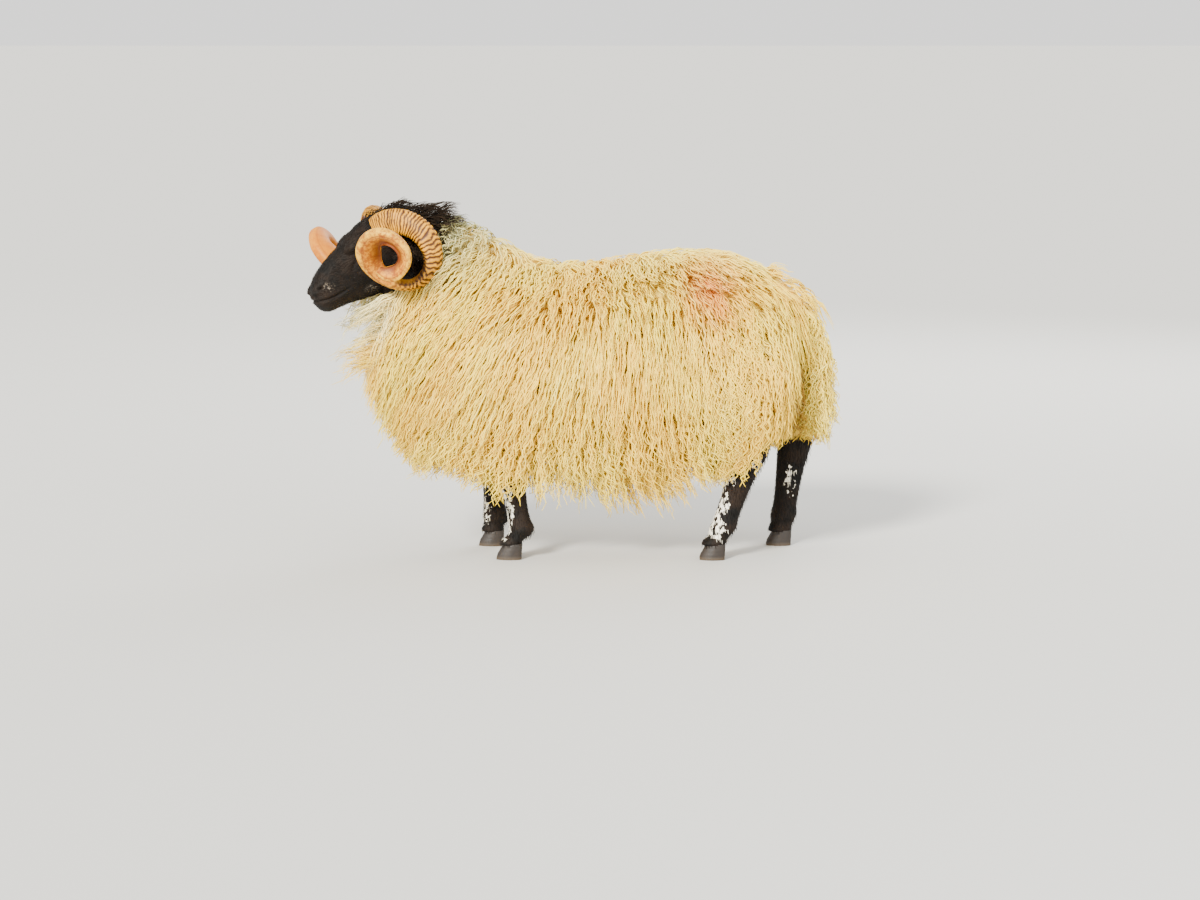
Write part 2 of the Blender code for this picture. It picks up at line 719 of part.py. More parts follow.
def body_lock_kind(place, normal):
    """Which lock grows where, and none behind the tail, on the cut to the head or where a leg leaves."""
    if (place - HEAD_CUT).dot(head_facing()) < 0.012 and place.z > 0.66:
        return None
    if place.y > 0.53 and abs(place.x) < 0.06 and place.z < 0.70:
        return None
    for kind, x, y, _lean in FEET.values():
        if place.z < LEG_CUTS[kind] + 0.05 and math.hypot(place.x - x, place.y - y) < 0.11:
            return None
    return lock_kind(place, normal)


def tail_lock_kind(place, _normal):
    return "tail" if place.z < 0.62 else None


def lie_at(place, kind):
    """The way the wool hangs: forwards at the shoulders, straight down amidships, a little back behind."""
    if kind == "poll":
        return Vector((4 * place.x, 0.8, 0.15))
    if kind == "tail":
        return Vector((0, 0.1, -1))
    lean = float(np.interp(place.y, (-0.55, -0.30, 0.05, 0.40, 0.60), (-0.30, -0.50, -0.06, 0.16, 0.30)))
    outwards = math.copysign(0.5, place.x) if kind in ("back", "neck") else 0.0
    return Vector((outwards, lean, -1.0))


def room_for_lock(place, lie, length):
    """The length that keeps a lock of the neck on its own side of the parting from the torso."""
    height = above_neck_cut(place)
    _point, normal = NECK_CUT
    descent = -lie.normalized().dot(Vector(normal).normalized())
    if height <= 0 or descent <= 0:
        return length
    return min(length, height / descent)


def even_roots(core, random_draw, kind_at, tries=9000):
    """Places spread evenly over a surface, each with its normal and kind of lock."""
    mesh = bmesh.new()
    mesh.from_mesh(core.data)
    bmesh.ops.triangulate(mesh, faces=mesh.faces)
    faces = list(mesh.faces)
    areas = [face.calc_area() for face in faces]
    roots = []
    for face in random_draw.choices(faces, areas, k=tries):
        a, b = sorted((random_draw.random(), random_draw.random()))
        place = face.verts[0].co * a + face.verts[1].co * (b - a) + face.verts[2].co * (1 - b)
        normal = face.normal.copy()
        kind = kind_at(place, normal)
        if kind and all((place - other[0]).length > LOCKS[kind][0] for other in roots):
            roots.append((place, normal, kind))
    mesh.free()
    return roots


def lock_path(root, normal, lie, length, thickness, core_tree, tips_tree):
    """Each ring's place and outward way, from the root in the core over to the tip at the coat's surface."""
    lie = lie.normalized()
    here, heading, been = root.copy(), (normal * ROOT_LIFT + lie).normalized(), 0.0
    path = []
    for share, _wide, thick, lift in LOCK_RINGS:
        here = here + heading * length * (share - been)
        been = share
        heading = (heading * STIFFNESS + lie).normalized()
        under, out = core_tree.find_nearest(here)[:2]
        over, over_out = tips_tree.find_nearest(here)[:2]
        depth = max(SHALLOWEST_COAT, (over - under).dot(out))
        spot = here.copy()
        if share == 0:
            spot = root + normal * depth * lift
        elif (here - under).dot(out) < depth * lift:
            spot = under + out * depth * lift
        margin = thickness * thick / 3 + TIP_MARGIN
        if (spot - over).dot(over_out) > -margin:
            spot = over - over_out * margin
        spot.z = max(spot.z, LOWEST_WOOL)
        path.append((spot, out))
        here = spot if share else here
    return path


def runs_on(path, length):
    """Whether a path goes on from ring to ring without folding back, twisting or bunching up."""
    steps = [b[0] - a[0] for a, b in zip(path, path[1:])]
    shares = [b[0] - a[0] for a, b in zip(LOCK_RINGS, LOCK_RINGS[1:])]
    straight = all(a.normalized().dot(b.normalized()) > SHARPEST_BEND for a, b in zip(steps, steps[1:]))
    untwisted = all(a[1].dot(b[1]) > SHARPEST_BEND for a, b in zip(path, path[1:]))
    spread = all(step.length > length * share / 2 for step, share in zip(steps, shares))
    return straight and untwisted and spread


def crosses_itself(thing):
    mesh = bmesh.new()
    mesh.from_mesh(thing.data)
    mesh.faces.ensure_lookup_table()
    tree = BVHTree.FromBMesh(mesh)
    crossing = any(not set(mesh.faces[a].verts) & set(mesh.faces[b].verts) for a, b in tree.overlap(tree))
    mesh.free()
    return crossing


def lock(path, width, thickness, sway):
    """One flat, tapered lock of three sides along its path, wavy by sway."""
    mesh = bmesh.new()
    loops = []
    for n, (spot, out) in enumerate(path[:-1]):
        _share, wide, thick, _lift = LOCK_RINGS[n]
        along = (path[n + 1][0] - spot).normalized()
        side = along.cross(out).normalized()
        lift = side.cross(along)
        middle = spot + side * sway * (n % 2)
        half, high = width * wide / 2, thickness * thick
        corners = (side * half - lift * high * 0.3, lift * high * 0.6, -side * half - lift * high * 0.3)
        loops.append([mesh.verts.new(middle + corner) for corner in corners])
    wall(mesh, loops)
    mesh.faces.new(loops[0])
    fan(mesh, loops[-1], mesh.verts.new(path[-1][0] - side * sway))
    return put_in_scene("lock", mesh)


def grow_locks(core, tips, seed, kind_at):
    """Locks rooted all over the core, reaching out to the tips' form, fused with the core."""
    random_draw = random.Random(seed)
    core_tree, tips_tree = surface_tree(core), surface_tree(tips)
    locks = []
    for place, normal, kind in even_roots(core, random_draw, kind_at):
        length, width, thickness = (size * random_draw.uniform(0.88, 1.12) for size in LOCKS[kind][1:])
        lie = Matrix.Rotation(random_draw.uniform(-0.2, 0.2), 3, normal) @ lie_at(place, kind)
        sway = random_draw.uniform(-0.012, 0.012)
        room = room_for_lock(place, lie, length)
        path = lock_path(place, normal, lie, room, thickness, core_tree, tips_tree)
        if room > SHORTEST_LOCK * length and runs_on(path, room):
            locks.append(lock(path, width, thickness, sway))
    for crossed in [one for one in locks if crosses_itself(one)]:
        locks.remove(crossed)
        bpy.data.objects.remove(crossed)
    bpy.data.objects.remove(tips)
    return combine(core, locks)


def clearance_cutters():
    """The head, horns, ears and legs, each larger by the gap, to cut the wool clear of them."""
    head = full_head(GAP)
    combine(head, [head_slab(1, -GAP)], "DIFFERENCE")
    cutters = [head]
    for side in (1, -1):
        cutters.append(loft("horn_room", horn_sections(side, HORN_RINGS, HORN_SIDES, extra=2 * GAP)))
        cutters.append(loft("ear_room", ear_sections(side, 2 * GAP)))
    for foot in FEET:
        cutters.append(leg_form(foot, GAP, GAP))
    tail = tail_form(extra=TAIL_ROOM)
    cutters.append(combine(tail, [slab("before_tail", *TAIL_CUT, -1, -GAP)], "DIFFERENCE"))
    return cutters


def body_form(core=False):
    """The torso, neck, thighs and the roots of the tail and legs as one form."""
    tail_root = combine(tail_form(core), [slab("tail_hair", *TAIL_CUT, 1, -THINNEST_CORE)], "DIFFERENCE")
    thighs = [thigh_form(side, core) for side in THIGHS]
    limbs = [loft("limb_root", list(leg_sections(foot, LEG_RINGS, 9))[:LIMB_ROOT_RINGS]) for foot in FEET]
    return combine(torso_form(core), [neck_form(core), tail_root, *thighs, *limbs])


def make_body():
    """The body with its locks, cut clear of its neighbours and parted into torso, neck and tail."""
    body = grow_locks(body_form(core=True), body_form(), LOCK_SEED, body_lock_kind)
    combine(body, clearance_cutters(), "DIFFERENCE")
    neck = part_with(body, "neck", *NECK_CUT, 1)
    torso = part_with(body, "torso", *NECK_CUT, -1)
    bpy.data.objects.remove(body)
    tail = grow_locks(tail_form(core=True), tail_form(), LOCK_SEED + 1, tail_lock_kind)
    tail.name = "tail"
    combine(tail, [slab("before_tail", *TAIL_CUT, -1)], "DIFFERENCE")
    return torso, neck, keep_largest(tail)


def stand_in_middle(things):
    """Moves the whole animal so that the middle of its ground box is the origin."""
    places = np.array([v.co[:] for thing in things for v in thing.data.vertices])
    low, high = places.min(0), places.max(0)
    shift = Matrix.Translation((-(low[0] + high[0]) / 2, -(low[1] + high[1]) / 2, -low[2]))
    for thing in things:
        thing.data.transform(shift)


def main():
    clear_scene()
    things = []
    for thing in make_body():
        things.append(finish(thing, FLEECE))
    things.append(finish(make_head(), BLACK_HAIR))
    for side in (1, -1):
        things.append(finish(eye_ball(side), EYE_STUFF))
        things.append(finish(make_horn(side), HORN_STUFF))
        things.append(finish(make_ear(side), BLACK_HAIR))
    for foot in FEET:
        things.append(finish(make_leg(foot), BLACK_HAIR))
        for side in (1, -1):
            things.append(finish(make_claw(foot, side), HOOF_STUFF))
    stand_in_middle(things)


main()
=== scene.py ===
import math

import bmesh
import bpy
import numpy as np
from mathutils import Matrix, Vector
from mathutils.bvhtree import BVHTree


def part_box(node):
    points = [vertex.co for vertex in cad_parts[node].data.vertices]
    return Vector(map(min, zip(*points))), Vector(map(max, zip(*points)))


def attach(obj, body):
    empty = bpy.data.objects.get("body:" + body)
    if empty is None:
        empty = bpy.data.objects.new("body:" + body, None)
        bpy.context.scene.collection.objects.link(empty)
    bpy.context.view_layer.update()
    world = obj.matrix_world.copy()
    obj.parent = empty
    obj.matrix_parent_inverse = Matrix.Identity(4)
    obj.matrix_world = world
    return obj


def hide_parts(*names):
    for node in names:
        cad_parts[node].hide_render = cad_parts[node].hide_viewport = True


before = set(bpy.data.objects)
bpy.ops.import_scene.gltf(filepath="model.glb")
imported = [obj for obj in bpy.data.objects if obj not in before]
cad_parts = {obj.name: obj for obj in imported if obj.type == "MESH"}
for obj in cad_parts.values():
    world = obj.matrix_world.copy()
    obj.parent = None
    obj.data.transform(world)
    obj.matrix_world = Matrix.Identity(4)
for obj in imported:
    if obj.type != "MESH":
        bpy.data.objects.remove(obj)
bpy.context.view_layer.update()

# The ram is modelled round its own middle and each piece is then moved onto the solids.
headPlace = {
    "poll": (0.015, -0.479, 0.874),  # top of the skull between the horns
    "yaw": 20,  # degrees that the face turns to the ram's left
    "pitch": 35,  # degrees that the face slopes down
    "eye": (0.0515, 0.114, -0.020),  # outwards, forwards, up from the poll
    "eyeRadius": 0.0145,
    "eyeTurn": 34,  # degrees that an eye looks forwards from straight outwards
}
headMatrix = (
    Matrix.Translation(headPlace["poll"])
    @ Matrix.Rotation(math.radians(headPlace["yaw"]), 4, "Z")
    @ Matrix.Rotation(math.radians(headPlace["pitch"]), 4, "X")
)


def onHead(outwards, forwards, up, side=1):
    return headMatrix @ Vector((side * outwards, -forwards, up))


eyeLow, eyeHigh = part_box("eye_left")
moveToSolids = (eyeLow + eyeHigh) / 2 - onHead(*headPlace["eye"])


# Handling pieces

def pickOnly(*pieces):
    bpy.ops.object.select_all(action="DESELECT")
    for piece in pieces:
        piece.select_set(True)
    bpy.context.view_layer.objects.active = pieces[0]


def applyModifier(piece, kind, **settings):
    pickOnly(piece)
    modifier = piece.modifiers.new("step", kind)
    for name, value in settings.items():
        setattr(modifier, name, value)
    bpy.ops.object.modifier_apply(modifier=modifier.name)


def joinPieces(name, pieces):
    pickOnly(*pieces)
    bpy.ops.object.join()
    pieces[0].name = name
    return pieces[0]


def combine(piece, other, operation="UNION"):
    applyModifier(piece, "BOOLEAN", operation=operation, object=other, solver="MANIFOLD")
    bpy.data.objects.remove(other)


def smoothRows(rows, count):
    # reads a table of sections at even steps along a smooth curve through its rows
    table = np.array(rows, float)
    slopes = np.gradient(table, axis=0)
    read = []
    for place in np.linspace(0, len(table) - 1, count):
        i = min(int(place), len(table) - 2)
        t = place - i
        rise = table[i] * (2 * t**3 - 3 * t**2 + 1) + table[i + 1] * (3 * t**2 - 2 * t**3)
        read.append(rise + slopes[i] * (t**3 - 2 * t**2 + t) + slopes[i + 1] * (t**3 - t**2))
    return read


def ovalRing(middle, side, up, halfWidth, halfHeight, points, roundness=2.0):
    middle, side, up = Vector(middle), Vector(side), Vector(up)
    ring = []
    for i in range(points):
        turn = math.tau * i / points
        across = math.copysign(abs(math.cos(turn)) ** (2 / roundness), math.cos(turn))
        lift = math.copysign(abs(math.sin(turn)) ** (2 / roundness), math.sin(turn))
        ring.append(middle + side * halfWidth * across + up * halfHeight * lift)
    return ring


def extrudeRings(name, rings):
    # a flat circle, extruded from ring to ring, each ring's corners then set in place
    bpy.ops.object.select_all(action="DESELECT")
    bpy.ops.mesh.primitive_circle_add(vertices=len(rings[0]), radius=1, fill_type="NGON")
    piece = bpy.context.object
    piece.name = name
    bpy.ops.object.mode_set(mode="EDIT")
    mesh = bmesh.from_edit_mesh(piece.data)
    for layer in ("corner", "ring"):
        mesh.verts.layers.int.new(layer)
    for number, vert in enumerate(mesh.verts):
        vert[mesh.verts.layers.int["corner"]] = number
    for number, ring in enumerate(rings):
        if number:
            bpy.ops.mesh.extrude_region_move()
            mesh = bmesh.from_edit_mesh(piece.data)
        cornerLayer, ringLayer = mesh.verts.layers.int["corner"], mesh.verts.layers.int["ring"]
        for vert in mesh.verts:
            if vert.select:
                vert.co = ring[vert[cornerLayer]]
                vert[ringLayer] = number
        bmesh.update_edit_mesh(piece.data)
    bpy.ops.mesh.select_all(action="SELECT")
    bpy.ops.mesh.normals_make_consistent(inside=False)
    bpy.ops.object.mode_set(mode="OBJECT")
    return piece


def addBall(name, place, radii, segments=24, rings=16):
    bpy.ops.object.select_all(action="DESELECT")
    bpy.ops.mesh.primitive_uv_sphere_add(segments=segments, ring_count=rings, radius=1)
    piece = bpy.context.object
    piece.name = name
    piece.data.transform(Matrix.LocRotScale(Vector(place), None, Vector(radii)))
    return piece


def finishPiece(piece, name, finish, replaced=()):
    piece.name = name
    piece.data.transform(Matrix.Translation(moveToSolids))
    piece.data.materials.clear()
    piece.data.materials.append(finish)
    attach(piece, "root")
    if replaced:
        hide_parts(*replaced)
    return piece


# Shader maths written as Python expressions

class Signal:
    def __init__(self, finish, socket):
        self.finish = finish
        self.socket = socket

    def __add__(self, other):
        return self.finish.maths("ADD", self, other)

    def __sub__(self, other):
        return self.finish.maths("SUBTRACT", self, other)

    def __mul__(self, other):
        return self.finish.maths("MULTIPLY", self, other)

    def __rsub__(self, other):
        return self.finish.maths("SUBTRACT", other, self)

    __radd__ = __add__
    __rmul__ = __mul__


class Finish:
    def __init__(self, name, **constants):
        self.material = bpy.data.materials.new(name)
        self.material.use_nodes = True
        self.tree = self.material.node_tree
        self.shader = self.tree.nodes["Principled BSDF"]
        for socket, value in constants.items():
            self.shader.inputs[socket.replace("_", " ")].default_value = value

    def feed(self, socket, value):
        if isinstance(value, Signal):
            self.tree.links.new(value.socket, socket)
        else:
            socket.default_value = value

    def node(self, kind, settings, inputs, output=0):
        made = self.tree.nodes.new(kind)
        for name, value in settings.items():
            setattr(made, name, value)
        for socket, value in inputs.items():
            self.feed(made.inputs[socket], value)
        return Signal(self, made.outputs[output])

    def maths(self, operation, *values):
        return self.node("ShaderNodeMath", {"operation": operation}, dict(enumerate(values)))

    def vectors(self, operation, *values, output=0):
        settings = {"operation": operation}
        return self.node("ShaderNodeVectorMath", settings, dict(enumerate(values)), output)

    def objectPlace(self):
        return self.node("ShaderNodeTexCoord", {}, {}, "Object")

    def attribute(self, name, output="Fac"):
        return self.node("ShaderNodeAttribute", {"attribute_name": name}, {}, output)

    def channel(self, colour, name):
        return self.node("ShaderNodeSeparateColor", {}, {0: colour}, name)

    def axis(self, place, name):
        return self.node("ShaderNodeSeparateXYZ", {}, {0: place}, name)

    def noise(self, place, scale, detail=2.0, roughness=0.5):
        inputs = {"Vector": place, "Scale": scale, "Detail": detail, "Roughness": roughness}
        return self.node("ShaderNodeTexNoise", {}, inputs)

    def step(self, value, start, end):
        inputs = {"Value": value, "From Min": start, "From Max": end}
        return self.node("ShaderNodeMapRange", {"interpolation_type": "SMOOTHSTEP"}, inputs)

    def blend(self, factor, first, second, way="MIX"):
        settings = {"data_type": "RGBA", "blend_type": way, "clamp_factor": True}
        return self.node("ShaderNodeMix", settings, {0: factor, 6: first, 7: second}, 2)

    def patch(self, place, middle, radii, inner):
        # 1 inside an oval patch on the ram, fading to 0 at its edge
        away = self.vectors("SUBTRACT", place, tuple(Vector(middle) + moveToSolids))
        away = self.vectors("DIVIDE", away, tuple(radii))
        return 1 - self.step(self.vectors("LENGTH", away, output="Value"), inner, 1.0)

    def beyond(self, place, point, way):
        # how far a place lies past a point, in a direction
        away = self.vectors("SUBTRACT", place, tuple(Vector(point) + moveToSolids))
        return self.vectors("DOT_PRODUCT", away, tuple(way), output="Value")

    def bump(self, height, distance):
        made = self.node("ShaderNodeBump", {}, {"Height": height, "Distance": distance})
        self.feed(self.shader.inputs["Normal"], made)

    def colour(self, value):
        self.feed(self.shader.inputs["Base Color"], value)

    def roughness(self, value):
        self.feed(self.shader.inputs["Roughness"], value)


def tint(red, green, blue):
    # a colour from its 0 to 255 values on screen
    def linear(part):
        part = part / 255
        return part / 12.92 if part <= 0.04045 else ((part + 0.055) / 1.055) ** 2.4

    return (linear(red), linear(green), linear(blue), 1.0)


# Skin

bodyShape = {
    # Y, middle height, half width, reach up, reach down
    "barrel": (
        (-0.470, 0.470, 0.050, 0.070, 0.060),
        (-0.430, 0.470, 0.105, 0.130, 0.110),
        (-0.360, 0.475, 0.150, 0.180, 0.160),
        (-0.270, 0.475, 0.175, 0.215, 0.175),
        (-0.150, 0.470, 0.190, 0.250, 0.180),
        (0.000, 0.465, 0.198, 0.245, 0.185),
        (0.140, 0.470, 0.200, 0.260, 0.185),
        (0.280, 0.475, 0.196, 0.268, 0.190),
        (0.400, 0.485, 0.182, 0.246, 0.175),
        (0.490, 0.500, 0.150, 0.184, 0.135),
        (0.538, 0.510, 0.105, 0.113, 0.085),
        (0.558, 0.520, 0.060, 0.065, 0.045),
    ),
    # X, Y, Z of the middle, half width, half height
    "neck": (
        (0.000, -0.140, 0.552, 0.160, 0.155),
        (0.002, -0.230, 0.612, 0.145, 0.148),
        (0.005, -0.300, 0.674, 0.115, 0.143),
        (0.010, -0.360, 0.720, 0.085, 0.132),
        (0.014, -0.420, 0.757, 0.066, 0.118),
        (0.022, -0.490, 0.785, 0.056, 0.100),
    ),
    # X, Y, Z of the middle, half width, half depth
    "tail": (
        (0.000, 0.500, 0.690, 0.030, 0.024),
        (0.000, 0.563, 0.640, 0.030, 0.022),
        (0.000, 0.598, 0.558, 0.028, 0.018),
        (0.000, 0.613, 0.460, 0.024, 0.015),
        (0.000, 0.616, 0.370, 0.018, 0.012),
        (0.000, 0.616, 0.320, 0.010, 0.008),
    ),
    "thighLeft": (
        (0.070, 0.430, 0.620, 0.060, 0.070),
        (0.112, 0.430, 0.500, 0.080, 0.100),
        (0.122, 0.430, 0.400, 0.070, 0.085),
        (0.120, 0.437, 0.320, 0.046, 0.058),
        (0.118, 0.444, 0.270, 0.034, 0.044),
    ),
    "thighRight": (
        (-0.070, 0.440, 0.620, 0.060, 0.070),
        (-0.112, 0.465, 0.500, 0.080, 0.095),
        (-0.122, 0.502, 0.400, 0.068, 0.085),
        (-0.120, 0.540, 0.320, 0.046, 0.056),
        (-0.118, 0.567, 0.270, 0.034, 0.044),
    ),
    "voxel": 0.011,
}
legShape = {
    # height, half width, half depth, shift in Y from the foot's line
    "fore": (
        (0.400, 0.055, 0.075, -0.045),
        (0.330, 0.042, 0.052, -0.035),
        (0.275, 0.033, 0.040, -0.020),
        (0.242, 0.031, 0.038, -0.016),
        (0.218, 0.0275, 0.033, -0.012),
        (0.192, 0.0270, 0.0320, -0.009),
        (0.165, 0.0240, 0.0285, -0.003),
        (0.130, 0.0222, 0.0270, 0.001),
        (0.100, 0.0235, 0.0285, 0.006),
        (0.077, 0.0280, 0.0320, 0.010),
        (0.060, 0.0250, 0.0270, 0.003),
        (0.046, 0.0270, 0.0285, -0.010),
        (0.036, 0.0275, 0.0290, -0.012),
    ),
    "hind": (
        (0.380, 0.034, 0.038, 0.088),
        (0.340, 0.035, 0.044, 0.094),
        (0.300, 0.035, 0.048, 0.096),
        (0.266, 0.032, 0.044, 0.092),
        (0.235, 0.0285, 0.0405, 0.080),
        (0.200, 0.0265, 0.0360, 0.065),
        (0.150, 0.0235, 0.0320, 0.048),
        (0.105, 0.0240, 0.0310, 0.032),
        (0.080, 0.0285, 0.0340, 0.024),
        (0.062, 0.0255, 0.0290, 0.015),
        (0.046, 0.0275, 0.0300, 0.002),
        (0.036, 0.0280, 0.0310, 0.000),
    ),
    # kind of leg, X and Y of the foot, and how much of the leg's lean it keeps
    "feet": {
        "foreleg_left": ("fore", 0.112, -0.148, 1.3),
        "foreleg_right": ("fore", -0.112, -0.212, 0.3),
        "hindleg_left": ("hind", 0.118, 0.352, 1.0),
        "hindleg_right": ("hind", -0.118, 0.532, 0.4),
    },
    "rings": 40,
    "sides": 20,
    "voxel": 0.0035,
    "dewclaw": {
        "apart": 0.012,
        "behind": 0.030,
        "height": 0.070,
        "radii": (0.0075, 0.0085, 0.0115),
    },
}
headShape = {
    # forwards from the poll, half width, top, bottom, roundness
    "skull": (
        (-0.050, 0.050, -0.012, -0.118, 2.2),
        (0.000, 0.060, 0.004, -0.138, 2.3),
        (0.038, 0.066, 0.016, -0.154, 2.4),
        (0.076, 0.066, 0.019, -0.160, 2.4),
        (0.110, 0.062, 0.013, -0.160, 2.3),
        (0.144, 0.053, 0.005, -0.153, 2.2),
        (0.182, 0.044, -0.001, -0.140, 2.2),
        (0.215, 0.040, -0.009, -0.128, 2.3),
        (0.243, 0.040, -0.020, -0.121, 2.4),
        (0.264, 0.037, -0.033, -0.116, 2.4),
        (0.278, 0.028, -0.047, -0.106, 2.2),
        (0.284, 0.013, -0.062, -0.094, 2.0),
    ),
    "lids": {"long": 0.0150, "high": 0.0112, "slant": -0.0020, "thickness": 0.0030},
    "socketGap": 0.0004,  # between an eyeball and its socket
    "voxel": 0.0026,
}
earShape = {
    # outwards, forwards, up from the poll, half width
    "line": (
        (0.048, 0.058, -0.052, 0.012),
        (0.078, 0.054, -0.062, 0.020),
        (0.108, 0.048, -0.074, 0.024),
        (0.136, 0.042, -0.086, 0.019),
        (0.154, 0.038, -0.096, 0.006),
    ),
    "thickness": 0.0036,
    "cup": 0.55,
}


def alongRings(rows, count, points, side=None):
    # rings across a line of middles, each turned square to the line
    rows = smoothRows(rows, count)
    rings = []
    for n, (x, y, z, halfWidth, halfHeight) in enumerate(rows):
        along = Vector(rows[min(n + 1, count - 1)][:3] - rows[max(n - 1, 0)][:3]).normalized()
        across = (side or Vector((0, 0, 1)).cross(along)).normalized()
        up = along.cross(across)
        rings.append(ovalRing((x, y, z), across, up, halfWidth, halfHeight, points, 2.1))
    return rings


def makeBody():
    barrel = []
    for y, z, halfWidth, above, below in smoothRows(bodyShape["barrel"], 30):
        ring = ovalRing((0, y, z), (1, 0, 0), (0, 0, 1), halfWidth, 1, 28, 2.3)
        for point in ring:
            point.z = z + (point.z - z) * (above if point.z > z else below)
        barrel.append(ring)
    across = Vector((1, 0, 0))
    pieces = [
        extrudeRings("barrel", barrel),
        extrudeRings("neck", alongRings(bodyShape["neck"], 14, 24)),
        extrudeRings("tail", alongRings(bodyShape["tail"], 14, 16, across)),
        extrudeRings("thigh", alongRings(bodyShape["thighLeft"], 12, 20, across)),
        extrudeRings("thigh", alongRings(bodyShape["thighRight"], 12, 20, across)),
    ]
    body = joinPieces("body", pieces)
    applyModifier(body, "REMESH", mode="VOXEL", voxel_size=bodyShape["voxel"])
    applyModifier(body, "SMOOTH", factor=0.6, iterations=5)
    return body


def makeLegs():
    legs = []
    dewclaw = legShape["dewclaw"]
    for kind, x, y, lean in legShape["feet"].values():
        rings = []
        for z, wide, deep, shift in smoothRows(legShape[kind], legShape["rings"]):
            middle = (x, y + shift * lean, z)
            rings.append(ovalRing(middle, (1, 0, 0), (0, 1, 0), wide, deep, legShape["sides"]))
        legs.append(extrudeRings("leg", rings))
        for side in (1, -1):
            place = (x + side * dewclaw["apart"], y + dewclaw["behind"], dewclaw["height"])
            legs.append(addBall("dewclaw", place, dewclaw["radii"], 16, 10))
    legs = joinPieces("legs", legs)
    applyModifier(legs, "REMESH", mode="VOXEL", voxel_size=legShape["voxel"])
    applyModifier(legs, "SMOOTH", factor=0.5, iterations=4)
    return legs


def headBulges(side):
    # the eyeball's seat with its brow, the cheek, the wing of the nostril and the upper lip
    outwards, forwards, up = headPlace["eye"]
    seat = headPlace["eyeRadius"] + headShape["lids"]["thickness"]
    return (
        ((outwards + 0.001, forwards, up), (seat, seat, seat)),
        ((outwards - 0.016, forwards - 0.004, up + 0.010), (0.025, 0.043, 0.019)),
        ((0.030, 0.060, -0.115), (0.034, 0.050, 0.040)),
        ((0.020, 0.252, -0.051), (0.017, 0.032, 0.014)),
        ((0.022, 0.224, -0.090), (0.017, 0.046, 0.015)),
    )


def vertPlaces(piece):
    places = np.empty(len(piece.data.vertices) * 3)
    piece.data.vertices.foreach_get("co", places)
    return places.reshape(-1, 3)


def vertNormals(piece):
    normals = np.empty(len(piece.data.vertices) * 3)
    piece.data.vertices.foreach_get("normal", normals)
    return normals.reshape(-1, 3)


def awayFromLine(places, line):
    # distance of each place from a line of points, and how far along it, from 0 to 1
    nearest = np.full(len(places), 1e9)
    share = np.zeros(len(places))
    line = np.array([tuple(point) for point in line])
    for n, (a, b) in enumerate(zip(line, line[1:])):
        t = np.clip(((places - a) @ (b - a)) / ((b - a) @ (b - a)), 0, 1)
        gap = np.linalg.norm(places - (a + t[:, None] * (b - a)), axis=1)
        closer = gap < nearest
        nearest[closer] = gap[closer]
        share[closer] = ((n + t) / (len(line) - 1))[closer]
    return nearest, share


def dent(piece, line, width, depth, taper=True):
    # presses a groove along a line into the piece, or raises a fold where depth is below 0
    places = vertPlaces(piece)
    away, share = awayFromLine(places, line)
    strength = np.exp(-((away / width) ** 2))
    if taper:
        strength *= np.clip(4 * share * (1 - share) + 0.25, 0, 1)
    moved = places - vertNormals(piece) * (strength * depth)[:, None]
    piece.data.vertices.foreach_set("co", moved.ravel())
    piece.data.update()


def skullWidth(forwards, up):
    line, *columns = np.array(headShape["skull"]).T
    row = (float(np.interp(forwards, line, column)) for column in columns)
    halfWidth, top, bottom, roundness = row
    lift = min(1.0, abs(up - (top + bottom) / 2) / ((top - bottom) / 2))
    return halfWidth * (1 - lift**roundness) ** (1 / roundness)


def lipLine():
    lips = faceFolds["lips"]
    left = [onHead(skullWidth(f, up), f, up) for f, up in lips]
    right = [onHead(skullWidth(f, up), f, up, -1) for f, up in reversed(lips)]
    return left + [onHead(0, 0.287, -0.070)] + right


def eyeFrame(side):
    # the head's own directions, turned to where an eye looks
    return headMatrix.to_3x3() @ Matrix.Rotation(math.radians(-side * headPlace["eyeTurn"]), 3, "Z")


def eyeBlade(side):
    # an almond that opens the lids over the eyeball
    lids = headShape["lids"]
    turned = eyeFrame(side)
    middle = onHead(*headPlace["eye"], side)
    rings = []
    for reach in (0.002, 0.040):
        ring = []
        for i in range(24):
            turn = math.tau * i / 24
            lift = math.copysign(abs(math.sin(turn)) ** 1.4, math.sin(turn)) * lids["high"]
            lift += lids["slant"] * math.cos(turn)
            along = -lids["long"] * math.cos(turn)
            ring.append(middle + turned @ Vector((side * reach, along, lift)))
        rings.append(ring)
    return extrudeRings("blade", rings)


def makeHead():
    turned = headMatrix.to_3x3()
    side, up = turned @ Vector((1, 0, 0)), turned @ Vector((0, 0, 1))
    rings = []
    for forwards, halfWidth, top, bottom, roundness in smoothRows(headShape["skull"], 40):
        middle = onHead(0, forwards, (top + bottom) / 2)
        rings.append(ovalRing(middle, side, up, halfWidth, (top - bottom) / 2, 32, roundness))
    pieces = [extrudeRings("skull", rings)]
    for way in (1, -1):
        for place, radii in headBulges(way):
            ball = addBall("bulge", (0, 0, 0), radii)
            outwards, forwards, up = place
            ball.data.transform(headMatrix @ Matrix.Translation((way * outwards, -forwards, up)))
            pieces.append(ball)
    head = joinPieces("head", pieces)
    applyModifier(head, "REMESH", mode="VOXEL", voxel_size=headShape["voxel"])
    applyModifier(head, "SMOOTH", factor=0.5, iterations=5)
    shapeFace(head)
    for way in (1, -1):
        room = headPlace["eyeRadius"] + headShape["socketGap"]
        socket = addBall("socket", onHead(*headPlace["eye"], way), (room,) * 3, 40, 28)
        combine(head, eyeBlade(way), "DIFFERENCE")
        combine(head, socket, "DIFFERENCE")
        combine(head, makeEar(way))
    return head


